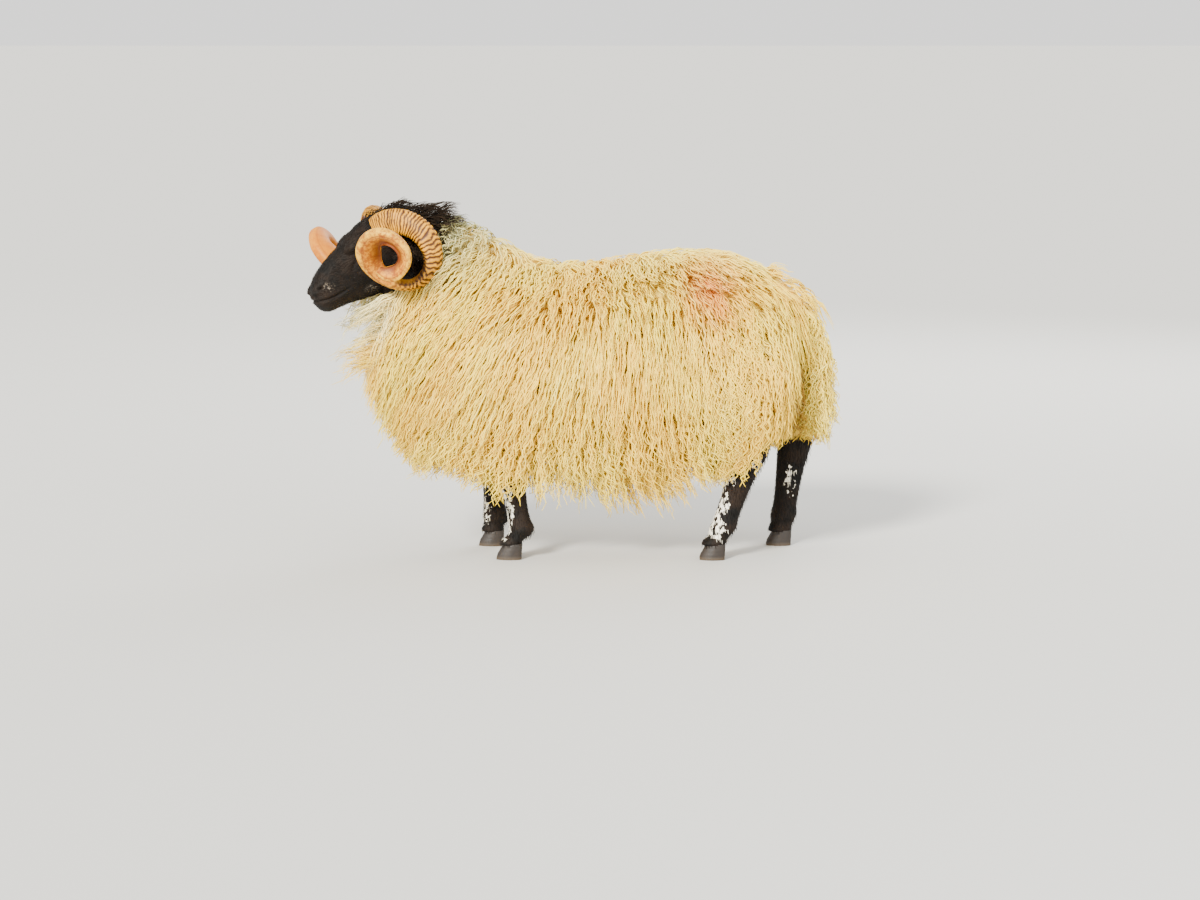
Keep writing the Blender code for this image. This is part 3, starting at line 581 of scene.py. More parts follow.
faceFolds = {
    # forwards and up from the poll
    "lips": (
        (0.196, -0.090), (0.214, -0.089), (0.234, -0.086), (0.254, -0.081), (0.271, -0.075),
        (0.282, -0.071),
    ),
    "lipGroove": (0.0030, 0.0055),
    # height over and below the line of the mouth at which the lips roll out, and depth
    "lipRolls": ((0.0075, -0.0014), (-0.0075, -0.0018)),
    # width and depth of each groove, or of a raised fold where the depth is below 0, then its points
    # outwards, forwards and up from the poll
    "sides": {
        "nostril": (
            0.0042, 0.0105,
            (
                (0.010, 0.285, -0.060), (0.016, 0.279, -0.052), (0.025, 0.269, -0.046),
                (0.034, 0.257, -0.045), (0.040, 0.247, -0.049),
            ),
        ),
        "wing": (
            0.0055, -0.0018,
            ((0.018, 0.276, -0.044), (0.028, 0.264, -0.038), (0.038, 0.250, -0.038)),
        ),
        "tear": (
            0.0050, 0.0030,
            ((0.055, 0.132, -0.032), (0.050, 0.150, -0.045), (0.046, 0.168, -0.056)),
        ),
        "jaw": (
            0.0120, 0.0030,
            (
                (0.052, 0.070, -0.085), (0.052, 0.110, -0.100), (0.046, 0.150, -0.108),
                (0.040, 0.180, -0.112),
            ),
        ),
        "bridge": (
            0.0100, -0.0016,
            ((0.034, 0.150, -0.010), (0.030, 0.190, -0.020), (0.028, 0.225, -0.032)),
        ),
        "upperLid": (
            0.0028, 0.0020,
            (
                (0.0635, 0.092, -0.020), (0.0635, 0.104, -0.0045), (0.0635, 0.118, -0.003),
                (0.0635, 0.132, -0.011),
            ),
        ),
        "lowerLid": (
            0.0028, 0.0018,
            ((0.0635, 0.096, -0.030), (0.0635, 0.110, -0.037), (0.0635, 0.126, -0.033)),
        ),
    },
}


def shapeFace(head):
    mouth = lipLine()
    up = headMatrix.to_3x3() @ Vector((0, 0, 1))
    dent(head, mouth, *faceFolds["lipGroove"])
    for lift, depth in faceFolds["lipRolls"]:
        dent(head, [point + up * lift for point in mouth], 0.0050, depth)
    dent(head, [onHead(0, 0.287, -0.058), onHead(0, 0.287, -0.070)], 0.0022, 0.0030, taper=False)
    for side in (1, -1):
        for width, depth, points in faceFolds["sides"].values():
            dent(head, [onHead(*point, side) for point in points], width, depth)


def makeEar(side):
    turned = headMatrix.to_3x3()
    widthWay = turned @ Vector((0, -0.35, 0.94))
    cupWay = turned @ Vector((0, -0.94, -0.35))
    thickness = earShape["thickness"]
    rings = []
    for outwards, forwards, up, halfWidth in smoothRows(earShape["line"], 44):
        middle = onHead(outwards, forwards, up, side)
        ring = []
        for step in np.linspace(-1, 1, 25):
            back = thickness * (1 - 0.6 * step**4)
            ring.append(middle + widthWay * halfWidth * step - cupWay * back)
        for step in np.linspace(0.94, -0.94, 23):
            dip = earShape["cup"] * halfWidth * (1 - step * step) - thickness
            front = thickness * 0.6 - dip * 0.35
            ring.append(middle + widthWay * halfWidth * step + cupWay * front)
        rings.append(ring)
    return extrudeRings("ear", rings)


def makeSkin():
    skin = makeBody()
    combine(skin, makeLegs())
    combine(skin, makeHead())
    pickOnly(skin)
    bpy.ops.object.mode_set(mode="EDIT")
    bpy.ops.mesh.select_all(action="SELECT")
    bpy.ops.mesh.remove_doubles(threshold=0.00005)
    bpy.ops.mesh.normals_make_consistent(inside=False)
    bpy.ops.object.mode_set(mode="OBJECT")
    bpy.ops.object.shade_smooth_by_angle(angle=math.radians(50))
    print("skin", len(skin.data.polygons))
    return skin


# Coat

random = np.random.default_rng(11)
coatShape = {
    "pieceTriangles": 190000,
    "patch": 0.003,  # size of a strand's patch on the flat unwrap
    # Y along the body and the height down to which the wool hangs there
    "fringe": (
        (-0.60, 0.44), (-0.55, 0.41), (-0.50, 0.345), (-0.41, 0.215), (-0.37, 0.215),
        (-0.27, 0.185), (-0.14, 0.155), (0.06, 0.128), (0.17, 0.118), (0.23, 0.122),
        (0.32, 0.195), (0.42, 0.222), (0.49, 0.285), (0.55, 0.320), (0.60, 0.285),
        (0.63, 0.275), (0.72, 0.300),
    ),
    "taper": (0.6, 1.0, 1.0, 0.95, 0.9, 0.8, 0.62, 0.34),  # shares of a strand's width, root to tip
    "windings": (  # directions of the waves that swirl adds up
        (1.0, 0.6, -0.4), (-0.7, 1.0, 0.8), (0.5, -0.9, 1.0), (0.9, 0.8, 0.3), (0.2, -0.6, -0.9),
    ),
}


def unit(vectors):
    return vectors / np.maximum(np.linalg.norm(vectors, axis=-1, keepdims=True), 1e-9)


def ease(values, start, end):
    t = np.clip((values - start) / (end - start), 0, 1)
    return t * t * (3 - 2 * t)


def swirl(places, size):
    # a smooth wandering field over the ram: three numbers for each place, from about -1 to 1
    turns = places @ np.array(coatShape["windings"]).T / size
    return np.stack([np.sin(turns + np.arange(5) * (1.3 + k) + k).sum(1) / 3 for k in range(3)], 1)


def inHead(places):
    # outwards, forwards and up from the poll, for an array of places
    inverse = np.array(headMatrix.inverted())
    local = places @ inverse[:3, :3].T + inverse[:3, 3]
    return local[:, 0], -local[:, 1], local[:, 2]


def sampleRoots(skin, spacing, keep):
    # places spread over the skin, no two nearer than spacing, with their normals
    mesh = bmesh.new()
    mesh.from_mesh(skin.data)
    bmesh.ops.triangulate(mesh, faces=mesh.faces)
    corners = np.array([[v.co[:] for v in face.verts] for face in mesh.faces])
    normals = np.array([face.normal[:] for face in mesh.faces])
    areas = np.array([face.calc_area() for face in mesh.faces])
    mesh.free()
    areas = areas * keep(corners.mean(1), normals)
    tries = int(areas.sum() / spacing**2 * 5)
    chosen = random.choice(len(areas), tries, p=areas / areas.sum())
    a, b = np.sort(random.random((2, tries, 1)), axis=0)
    places = corners[chosen, 0] * a + corners[chosen, 1] * (b - a) + corners[chosen, 2] * (1 - b)
    around = [(i, j, k) for i in (-1, 0, 1) for j in (-1, 0, 1) for k in (-1, 0, 1)]
    cells, kept = {}, []
    for n, cell in enumerate(map(tuple, np.floor(places / spacing).astype(int))):
        beside = ((cell[0] + i, cell[1] + j, cell[2] + k) for i, j, k in around)
        near = [m for place in beside for m in cells.get(place, ())]
        if not near or ((places[near] - places[n]) ** 2).sum(1).min() > spacing**2:
            cells.setdefault(cell, []).append(n)
            kept.append(n)
    return places[kept], normals[chosen[kept]]


def drapeGuides(tree, roots, normals, flow):
    # lets the middle strand of each staple rise from its root, bend over and hang along the skin
    rings = flow["rings"]
    paths = np.zeros((len(roots), rings, 3))
    outs = np.zeros((len(roots), rings, 3))
    for n in range(len(roots)):
        normal, lie = Vector(normals[n]), Vector(flow["lies"][n])
        place, out = Vector(roots[n]) - normal * flow["sunk"], normal
        heading = (normal * flow["lifts"][n] + lie).normalized()
        for k in range(rings):
            paths[n, k], outs[n, k] = place, out
            heading = (heading * (1 - flow["fall"]) + lie * flow["fall"]).normalized()
            place = place + heading * (flow["lengths"][n] / (rings - 1))
            near, under, _index, _gap = tree.find_nearest(place)
            share = (k + 1) / (rings - 1)
            height = (place - near).dot(under)
            least = flow["depths"][n] * min(1.0, share / flow["risen"]) ** 0.7
            least *= 1 - flow["drop"] * max(0.0, share - 0.5)
            if height < least:
                place = place + under * (least - height)
            out = (out * 0.4 + under * 0.6).normalized()
    return paths, outs


def trimGuides(paths, outs):
    # ends each staple where the fleece's hanging edge runs
    rings = paths.shape[1]
    table = np.array(coatShape["fringe"])
    edge = np.interp(paths[..., 1], table[:, 0], table[:, 1])
    edge = edge + random.uniform(-0.012, 0.030, len(paths))[:, None]
    below = paths[..., 2] < edge
    last = np.where(below.any(1), below.argmax(1), rings - 1)
    steps = np.linspace(0, 1, rings)[None, :] * np.maximum(last, 1)[:, None]
    low = np.minimum(steps.astype(int), rings - 2)
    part = (steps - low)[..., None]
    row = np.arange(len(paths))[:, None]
    return paths[row, low] * (1 - part) + paths[row, low + 1] * part, outs[row, low], last > 1


def growStrands(paths, outs, shape):
    # strands round each guide: they start apart, draw together towards the tip and wave together
    count, rings, most = len(paths), shape["rings"], shape["strands"]
    staple = np.repeat(np.arange(count), most)
    total = len(staple)
    varied = ("wave", "sway", "width", "gather")
    each = {key: np.broadcast_to(shape[key], count)[staple] for key in varied}
    turn = random.random(total) * math.tau
    reach = np.sqrt(random.random(total)) * shape["spread"]
    share = np.linspace(0, 1, rings)
    size = random.uniform(shape["shortest"], 1.0, total)
    along = np.clip(share[None, :] * size[:, None], 0, 1) * (paths.shape[1] - 1)
    low = np.clip(along.astype(int), 0, paths.shape[1] - 2)
    part = (along - low)[..., None]
    row = staple[:, None]
    middle = paths[row, low] * (1 - part) + paths[row, low + 1] * part
    out = unit(outs[row, low] * (1 - part) + outs[row, low + 1] * part)
    ahead = unit(np.gradient(middle, axis=1))
    side = unit(np.cross(ahead, out))
    drawn = 1 - each["gather"][:, None] * share[None, :] ** 1.3
    middle = middle + side * ((np.cos(turn) * reach)[:, None] * drawn)[..., None]
    middle = middle + ahead * ((np.sin(turn) * reach)[:, None] * (1 - share)[None, :])[..., None]
    layer = random.uniform(-1.1, 0.4, total) * shape["thick"]
    middle = middle + out * (layer[:, None] * share[None, :] ** 0.6)[..., None]
    length = np.linalg.norm(np.diff(paths, axis=1), axis=2).sum(1)[staple] * size
    phase = swirl(paths[:, 0], 0.045)[staple, 0] * 3 + random.normal(0, shape["loose"], total)
    waves = length / each["wave"] * random.uniform(0.85, 1.15, total)
    turns = share[None, :] * waves[:, None] * math.tau
    swing = (each["sway"] * random.uniform(0.5, 1.4, total))[:, None] * share[None, :] ** 0.6
    middle = middle + side * (np.sin(turns + phase[:, None]) * swing)[..., None]
    middle = middle + out * (np.cos(turns * 0.9 + phase[:, None]) * swing * 0.5)[..., None]
    tone = 0.5 + swirl(paths[:, 0], 0.03)[staple, 1] * 0.08 + random.normal(0, 0.19, total)
    width = each["width"] * random.uniform(0.7, 1.25, total)
    return {"middle": middle, "out": out, "width": width, "tone": np.clip(tone, 0, 1)}


def drawIn(strands, axis, limit):
    # strays come half way back to the limit, on both sides
    places = strands["middle"][..., axis]
    places -= np.sign(places) * 0.5 * np.maximum(np.abs(places) - limit, 0)


def strandMesh(name, strands, chosen, taper, unwrap):
    # closed, three-sided, tapering strands as one mesh, which keeps each strand's tone and root
    middle, out = strands["middle"][chosen], strands["out"][chosen]
    count, rings = middle.shape[:2]
    ahead = unit(np.gradient(middle, axis=1))
    side = unit(np.cross(ahead, out))
    lift = unit(np.cross(side, ahead))
    profile = np.interp(np.linspace(0, 1, rings), np.linspace(0, 1, len(taper)), taper)
    wide = strands["width"][chosen][:, None, None] * profile[None, :, None]
    edge, ridge = wide * 0.5, wide * 0.3
    low = lift * ridge * 0.5
    corners = [middle + side * edge - low, middle + lift * ridge, middle - side * edge - low]
    tips = middle[:, -1] + ahead[:, -1] * wide[:, -1] * 2.5
    tip = rings * 3
    verts = np.stack(corners, 2).reshape(count, tip, 3)
    verts = np.concatenate([verts, tips[:, None]], 1).reshape(-1, 3)
    loops, starts = [], []
    for k in range(rings - 1):
        for i in range(3):
            j = (i + 1) % 3
            starts.append(len(loops))
            loops += [k * 3 + i, k * 3 + j, k * 3 + 3 + j, k * 3 + 3 + i]
    a, b, c = tip - 3, tip - 2, tip - 1
    for corner in ((0, 2, 1), (a, b, tip), (b, c, tip), (c, a, tip)):
        starts.append(len(loops))
        loops += corner
    order = np.arange(count)[:, None]
    allLoops = (order * (tip + 1) + np.array(loops)[None, :]).ravel().astype(np.int32)
    allStarts = (order * len(loops) + np.array(starts)[None, :]).ravel().astype(np.int32)
    mesh = bpy.data.meshes.new(name)
    mesh.vertices.add(len(verts))
    mesh.vertices.foreach_set("co", verts.ravel())
    mesh.loops.add(len(allLoops))
    mesh.loops.foreach_set("vertex_index", allLoops)
    mesh.polygons.add(len(allStarts))
    mesh.polygons.foreach_set("loop_start", allStarts)
    mesh.update(calc_edges=True)
    mesh.polygons.foreach_set("use_smooth", np.ones(len(allStarts), bool))
    along = np.append(np.repeat(np.linspace(0, 0.94, rings), 3), 1.0)
    across = np.append(np.tile([0.0, 0.5, 1.0], rings), 0.5)
    colours = np.ones((count, tip + 1, 4))
    colours[..., 0] = strands["tone"][chosen][:, None]
    colours[..., 1] = along[None, :]
    mesh.attributes.new("strand", "FLOAT_COLOR", "POINT").data.foreach_set("color", colours.ravel())
    roots = np.repeat(middle[:, 0], tip + 1, axis=0) + np.array(moveToSolids)
    mesh.attributes.new("root", "FLOAT_VECTOR", "POINT").data.foreach_set("vector", roots.ravel())
    flat = unwrap(middle[:, 0])
    flat = 0.02 + 0.95 * (flat - flat.min(0)) / (flat.max(0) - flat.min(0))
    patch = np.stack([across, along], 1)[None] * coatShape["patch"]
    places = (flat[:, None, :] + patch).reshape(-1, 2)[allLoops]
    mesh.uv_layers.new(name="OFBake").data.foreach_set("uv", places.ravel())
    piece = bpy.data.objects.new(name, mesh)
    bpy.context.scene.collection.objects.link(piece)
    return piece


def addCoat(name, strands, chosen, finish, unwrap, taper):
    # as many pieces as keep each one light enough
    triangles = len(chosen) * (6 * strands["middle"].shape[1] - 2)
    parts = math.ceil(triangles / coatShape["pieceTriangles"])
    chosen = chosen[np.argsort(strands["middle"][chosen, 0, 1])]
    for number, part in enumerate(np.array_split(chosen, parts)):
        title = f"{name}_{number + 1}" if parts > 1 else name
        finishPiece(strandMesh(title, strands, part, taper, unwrap), title, finish)
    print(name, len(chosen), "strands", triangles, "triangles")


def unwrapBody(places):
    # the skin laid flat: along the body, and round it
    return np.stack([places[:, 1], np.arctan2(places[:, 2] - 0.47, places[:, 0])], 1)


def unwrapHead(places):
    outwards, forwards, up = inHead(places)
    return np.stack([forwards, np.arctan2(up + 0.07, outwards)], 1)


def unwrapLegs(places):
    # the four legs laid side by side, each along its height and round it
    flat = np.zeros((len(places), 2))
    for number, (_kind, x, y, _lean) in enumerate(legShape["feet"].values()):
        mine = np.hypot(places[:, 0] - x, places[:, 1] - y) < 0.13
        turn = np.arctan2(places[mine, 1] - y - 0.03, places[mine, 0] - x) / math.tau + 0.5
        flat[mine, 0] = number + turn * 0.9
        flat[mine, 1] = places[mine, 2]
    return flat


def isFace(places):
    _outwards, forwards, up = inHead(places)
    return (forwards > -0.015) & (up > -0.168)


def isPoll(places, _normals=None):
    # the black wool behind and between the horns, over the nape
    _outwards, forwards, up = inHead(places)
    _x, y, z = places.T
    return (forwards < 0.045) & (up > -0.15) & (y - 0.5 * z < -0.745) & (z > 0.69)


def isTail(places, _normals=None):
    return (places[:, 1] > 0.572) & (np.abs(places[:, 0]) < 0.045) & (places[:, 2] < 0.70)


def isFleece(places, normals):
    clear = (places[:, 2] > 0.290) & ~isPoll(places) & ~isFace(places) & ~isTail(places)
    under = 1 - 0.45 * (normals[:, 2] < -0.5)
    return clear * under


def combedFlow(guide, lies, lengths, depths, lifts):
    # how staples lie, with each one's length and its height over the skin a little different
    count = len(lies)
    return dict(
        guide,
        lies=lies,
        lengths=lengths * random.uniform(*guide["longer"], count),
        depths=depths * random.uniform(*guide["deeper"], count),
        lifts=np.broadcast_to(lifts, count),
    )


def makeCoat(name, keep, comb, shape, finish, unwrap=unwrapBody):
    # one kind of hair: keep tells where it grows, comb how it lies
    roots, normals = sampleRoots(skin, shape["spacing"], keep)
    guide = shape["guide"]
    lies, lengths, depths, lifts = comb(roots, normals)
    lies = unit(lies + random.normal(0, guide["stray"], roots.shape))
    flow = combedFlow(guide, lies, lengths, depths, lifts)
    paths, outs = drapeGuides(skinTree, roots, normals, flow)
    if "fringed" in shape:
        paths, outs, whole = trimGuides(paths, outs)
        paths, outs = paths[whole], outs[whole]
    strands = growStrands(paths, outs, shape)
    if "highest" in shape:
        drawIn(strands, 2, shape["highest"])
    every = np.arange(len(strands["middle"]))
    addCoat(name, strands, every, finish, unwrap, shape.get("taper", coatShape["taper"]))


# A coat's guide is the middle strand of each staple: how fast it falls to its lie, how deep it is
# rooted, the share of its length where it has risen, how far its end drops, and the ranges by which
# lengths and heights over the skin vary.
fleeceShape = {
    "spacing": 0.0165,  # between the middles of two staples
    "length": 0.165,
    "spread": 0.019,
    "thick": 0.013,
    "loose": 0.55,  # how far the strands of a staple wave out of step
    "widest": 0.258,  # X beyond which strays are drawn in
    "straight": {"strands": 7, "rings": 9, "width": 0.0044, "shortest": 0.62},
    "curly": {"strands": 5, "rings": 13, "width": 0.0048, "shortest": 0.76},
    # Y and how far the wool leans back there, as a share of its fall
    "lean": ((-0.55, -0.30, 0.05, 0.38, 0.48, 0.60), (-0.18, -0.60, -0.12, 0.14, -0.06, -0.06)),
    # how far the skin faces up and how high the wool stands over it
    "height": ((-1, -0.2, 0.2, 0.7, 1), (0.030, 0.049, 0.051, 0.046, 0.040)),
    "guide": {
        "rings": 9, "fall": 0.42, "sunk": 0.003, "risen": 0.38, "drop": 0.25,
        "longer": (0.85, 1.12), "deeper": (0.88, 1.0),
    },
}


def makeFleece(finish):
    roots, normals = sampleRoots(skin, fleeceShape["spacing"], isFleece)
    x, y, z = roots.T
    up = normals[:, 2]
    top = ease(up, 0.30, 0.85)
    neck = ease(-y, 0.20, 0.34) * ease(z, 0.62, 0.74)
    low = 1 - ease(z, 0.34, 0.50)
    hind = ease(y, 0.22, 0.42)
    lean = np.interp(y, *fleeceShape["lean"])
    lean = lean + 0.45 * low * ease(y, -0.20, 0.0) * (1 - ease(y, 0.30, 0.42))
    lean = lean * (1 - 0.95 * ease(-y, 0.29, 0.36) * ease(z, 0.69, 0.75))
    spine = np.exp(-((x / 0.035) ** 2)) * (1 - 0.5 * hind)
    lean = lean + top * (0.12 + 0.45 * spine)
    lies = np.stack([np.tanh(x / 0.035) * top * 0.9, lean, -1 + 0.6 * top], 1)
    stray = swirl(roots, 0.09) * 0.10 + random.normal(0, 0.035, roots.shape)
    lies = unit(lies + stray * (1 + 0.8 * low + 0.8 * hind + 0.8 * neck + 1.5 * top)[:, None])
    belly = low * ease(y, -0.16, 0.04) * (1 - ease(y, 0.24, 0.32))
    lengths = fleeceShape["length"] * (1 - 0.35 * top - 0.35 * neck + 0.12 * low + 0.20 * belly)
    depths = np.interp(up, *fleeceShape["height"])
    cleft = ease(y, 0.505, 0.545) * (z < 0.60)  # between the thighs and the tail
    depths = depths - 0.010 * ease(y, 0.48, 0.54) - 0.018 * neck - 0.028 * cleft
    lifts = 0.45 + 0.3 * np.clip(up, 0, 1)
    flow = combedFlow(fleeceShape["guide"], lies, lengths, depths, lifts)
    paths, outs, whole = trimGuides(*drapeGuides(skinTree, roots, normals, flow))
    curl = np.clip(0.25 + 0.8 * low + 0.70 * hind * (1 - top) + 0.9 * neck * top, 0, 1)
    for kind, chosen in (("straight", whole & (curl <= 0.55)), ("curly", whole & (curl > 0.55))):
        shape = dict(
            fleeceShape,
            **fleeceShape[kind],
            gather=(0.12 + 0.30 * curl * (1 - 0.7 * low))[chosen],
            wave=(0.060 - 0.022 * curl)[chosen],
            sway=(0.0018 + 0.0072 * curl)[chosen],
        )
        strands = growStrands(paths[chosen], outs[chosen], shape)
        drawIn(strands, 0, fleeceShape["widest"])
        left = strands["middle"][:, 0, 0] > 0
        for side, mine in (("left", left), ("right", ~left)):
            chosen = np.where(mine)[0]
            title = f"fleece_{kind}_{side}"
            addCoat(title, strands, chosen, finish, unwrapBody, coatShape["taper"])


tailShape = {
    "spacing": 0.0105,
    "strands": 8,
    "rings": 12,
    "width": 0.0038,
    "length": 0.095,
    "spread": 0.022,
    "thick": 0.018,
    "loose": 0.7,
    "shortest": 0.6,
    "gather": 0.30,
    "wave": 0.034,
    "sway": 0.0070,
    "fringed": True,
    "guide": {
        "rings": 9, "fall": 0.36, "sunk": 0.003, "risen": 0.5, "drop": 0.3,
        "stray": 0.10, "longer": (0.7, 1.1), "deeper": (0.5, 1.0),
    },
}


def combTail(roots, normals):
    lies = np.stack([roots[:, 0] * 9, 0.10 + 0.10 * normals[:, 1], -np.ones(len(roots))], 1)
    return lies, tailShape["length"], 0.040 - 0.011 * ease(roots[:, 2], 0.50, 0.62), 0.9


pollShape = {
    "spacing": 0.0098,
    "strands": 8,
    "rings": 7,
    "width": 0.0021,
    # Y and the height of the tuft there
    "hump": ((-0.52, -0.47, -0.43, -0.39, -0.35, -0.31), (0.010, 0.016, 0.026, 0.056, 0.054, 0.034)),
    "spread": 0.011,
    "thick": 0.013,
    "loose": 2.0,
    "highest": 0.898,  # Z above which strays are drawn in
    "shortest": 0.60,
    "gather": 0.0,
    "wave": 0.019,
    "sway": 0.0036,
    "guide": {
        "rings": 8, "fall": 0.30, "sunk": 0.002, "risen": 0.6, "drop": 0.2,
        "stray": 0.17, "longer": (0.8, 1.1), "deeper": (0.55, 1.0),
    },
}


def combPoll(roots, normals):
    top = ease(normals[:, 2], 0.0, 0.7)
    hump = np.interp(roots[:, 1], *pollShape["hump"])
    hump = hump * (0.3 + 0.7 * ease(-inHead(roots)[1], -0.045, 0.010))
    lies = np.stack([np.sign(roots[:, 0]) * 0.3, 0.50 + 0.4 * top, -1 + 0.70 * top], 1)
    return lies, 0.024 + 0.85 * hump * top, 0.010 + hump * top, 0.7 + 0.6 * top


throatShape = {
    "spacing": 0.0105,
    "strands": 7,
    "rings": 12,
    "width": 0.0028,
    "length": 0.185,
    "height": 0.020,
    "spread": 0.014,
    "thick": 0.014,
    "loose": 0.8,
    "shortest": 0.6,
    "gather": 0.5,
    "wave": 0.054,
    "sway": 0.0105,
    "guide": {
        "rings": 9, "fall": 0.30, "sunk": 0.003, "risen": 0.8, "drop": 0.0,
        "stray": 0.16, "longer": (0.55, 1.1), "deeper": (0.5, 1.4),
    },
}


def isThroat(places, _normals):
    # the light, loose wool under the jaw
    _x, y, z = places.T
    return (y < -0.43) & (z > 0.54) & (z < 0.74) & ~isFace(places)


def combThroat(roots, _normals):
    lies = np.tile((0.0, -1.0, -0.72), (len(roots), 1))
    lies[:, 0] = np.sign(roots[:, 0]) * 0.15
    return lies, throatShape["length"], throatShape["height"], 0.6


shortHair = {
    "strands": 1,
    "rings": 3,
    "spread": 0.0,
    "thick": 0.0,
    "loose": 1.0,
    "shortest": 0.9,
    "gather": 0.0,
    "wave": 0.05,
    "sway": 0.0002,
    "lift": 0.28,
    "taper": (0.7, 1.0, 0.55),
    "guide": {
        "rings": 3, "fall": 0.6, "sunk": 0.0008, "risen": 1.0, "drop": 0.0,
        "stray": 0.12, "longer": (0.7, 1.2), "deeper": (0.0006, 0.0022),
    },
}
faceHair = dict(
    shortHair,
    spacing=0.0038,
    width=0.0015,
    # forwards from the poll, and the hair's length there
    length=((0.05, 0.16, 0.24, 0.29), (0.013, 0.009, 0.0055, 0.0035)),
    eyeGap=0.0185,
    nostrilGap=0.0055,
    lipGap=0.0040,
)
legHair = dict(
    shortHair,
    spacing=0.0058,
    width=0.0019,
    length=((0.05, 0.12, 0.28), (0.010, 0.010, 0.014)),  # by height
    heights=(0.041, 0.295),  # between hoof and fleece
)


def isFaceHair(places, _normals):
    # all of the face but the eyeballs, the nostrils and the line of the mouth
    keep = isFace(places)
    nostril = faceFolds["sides"]["nostril"][2]
    for side in (1, -1):
        eye = np.array(onHead(*headPlace["eye"], side))
        keep &= np.linalg.norm(places - eye, axis=1) > faceHair["eyeGap"]
        opening = [onHead(*point, side) for point in nostril]
        keep &= awayFromLine(places, opening)[0] > faceHair["nostrilGap"]
    return keep & (awayFromLine(places, lipLine())[0] > faceHair["lipGap"])


def combFace(roots, _normals):
    outwards, forwards, _up = inHead(roots)
    ear = np.abs(outwards) > 0.075
    lies = (np.sign(outwards) * (0.10 + 1.2 * ear), 1.0 - 0.8 * ear, -0.18 - 0.2 * ear)
    lies = np.stack(lies, 1) @ np.array(headMatrix.to_3x3()).T
    return lies, np.interp(forwards, *faceHair["length"]), 1.0, shortHair["lift"]


def isLegHair(places, _normals):
    lowest, highest = legHair["heights"]
    return (places[:, 2] < highest) & (places[:, 2] > lowest)


def combLegs(roots, _normals):
    lies = np.tile((0.0, 0.06, -1.0), (len(roots), 1))
    return lies, np.interp(roots[:, 2], *legHair["length"]), 1.0, shortHair["lift"]


# Horns

hornShape = {
    # turn in degrees (90 on top, 180 behind), radius of the coil, its middle forwards, up and
    # outwards, and the horn's half width across the coil and half thickness
    "line": (
        (75, 0.072, 0.030, -0.082, 0.052, 0.031, 0.028),
        (120, 0.075, 0.034, -0.085, 0.070, 0.032, 0.028),
        (165, 0.073, 0.037, -0.085, 0.088, 0.030, 0.027),
        (210, 0.0715, 0.041, -0.085, 0.108, 0.0245, 0.026),
        (255, 0.0760, 0.046, -0.083, 0.129, 0.0190, 0.023),
        (300, 0.0860, 0.054, -0.079, 0.149, 0.0125, 0.020),
        (345, 0.0780, 0.066, -0.069, 0.167, 0.0210, 0.021),
        (390, 0.060, 0.083, -0.055, 0.184, 0.031, 0.022),
        (435, 0.050, 0.097, -0.044, 0.197, 0.027, 0.020),
        (480, 0.047, 0.104, -0.039, 0.207, 0.0235, 0.019),
        (525, 0.045, 0.106, -0.038, 0.214, 0.020, 0.017),
        (570, 0.045, 0.106, -0.038, 0.220, 0.018, 0.015),
        (615, 0.045, 0.106, -0.038, 0.224, 0.018, 0.013),
        (660, 0.047, 0.105, -0.040, 0.227, 0.020, 0.011),
        (700, 0.047, 0.104, -0.042, 0.230, 0.011, 0.006),
    ),
    "toe": (38, 46),  # degrees that the left and right coils' axes turn from outwards to the front
    "rightForward": 0.040,  # how far the right coil moves forwards
    "rings": 560,
    "sides": 32,
    "ridge": 0.0036,  # height of a ridge on the first coil
    "ridgeSteps": ((0.0, 0.0058), (0.10, 0.0070), (0.22, 0.0115), (0.40, 0.0125), (1.0, 0.013)),
}


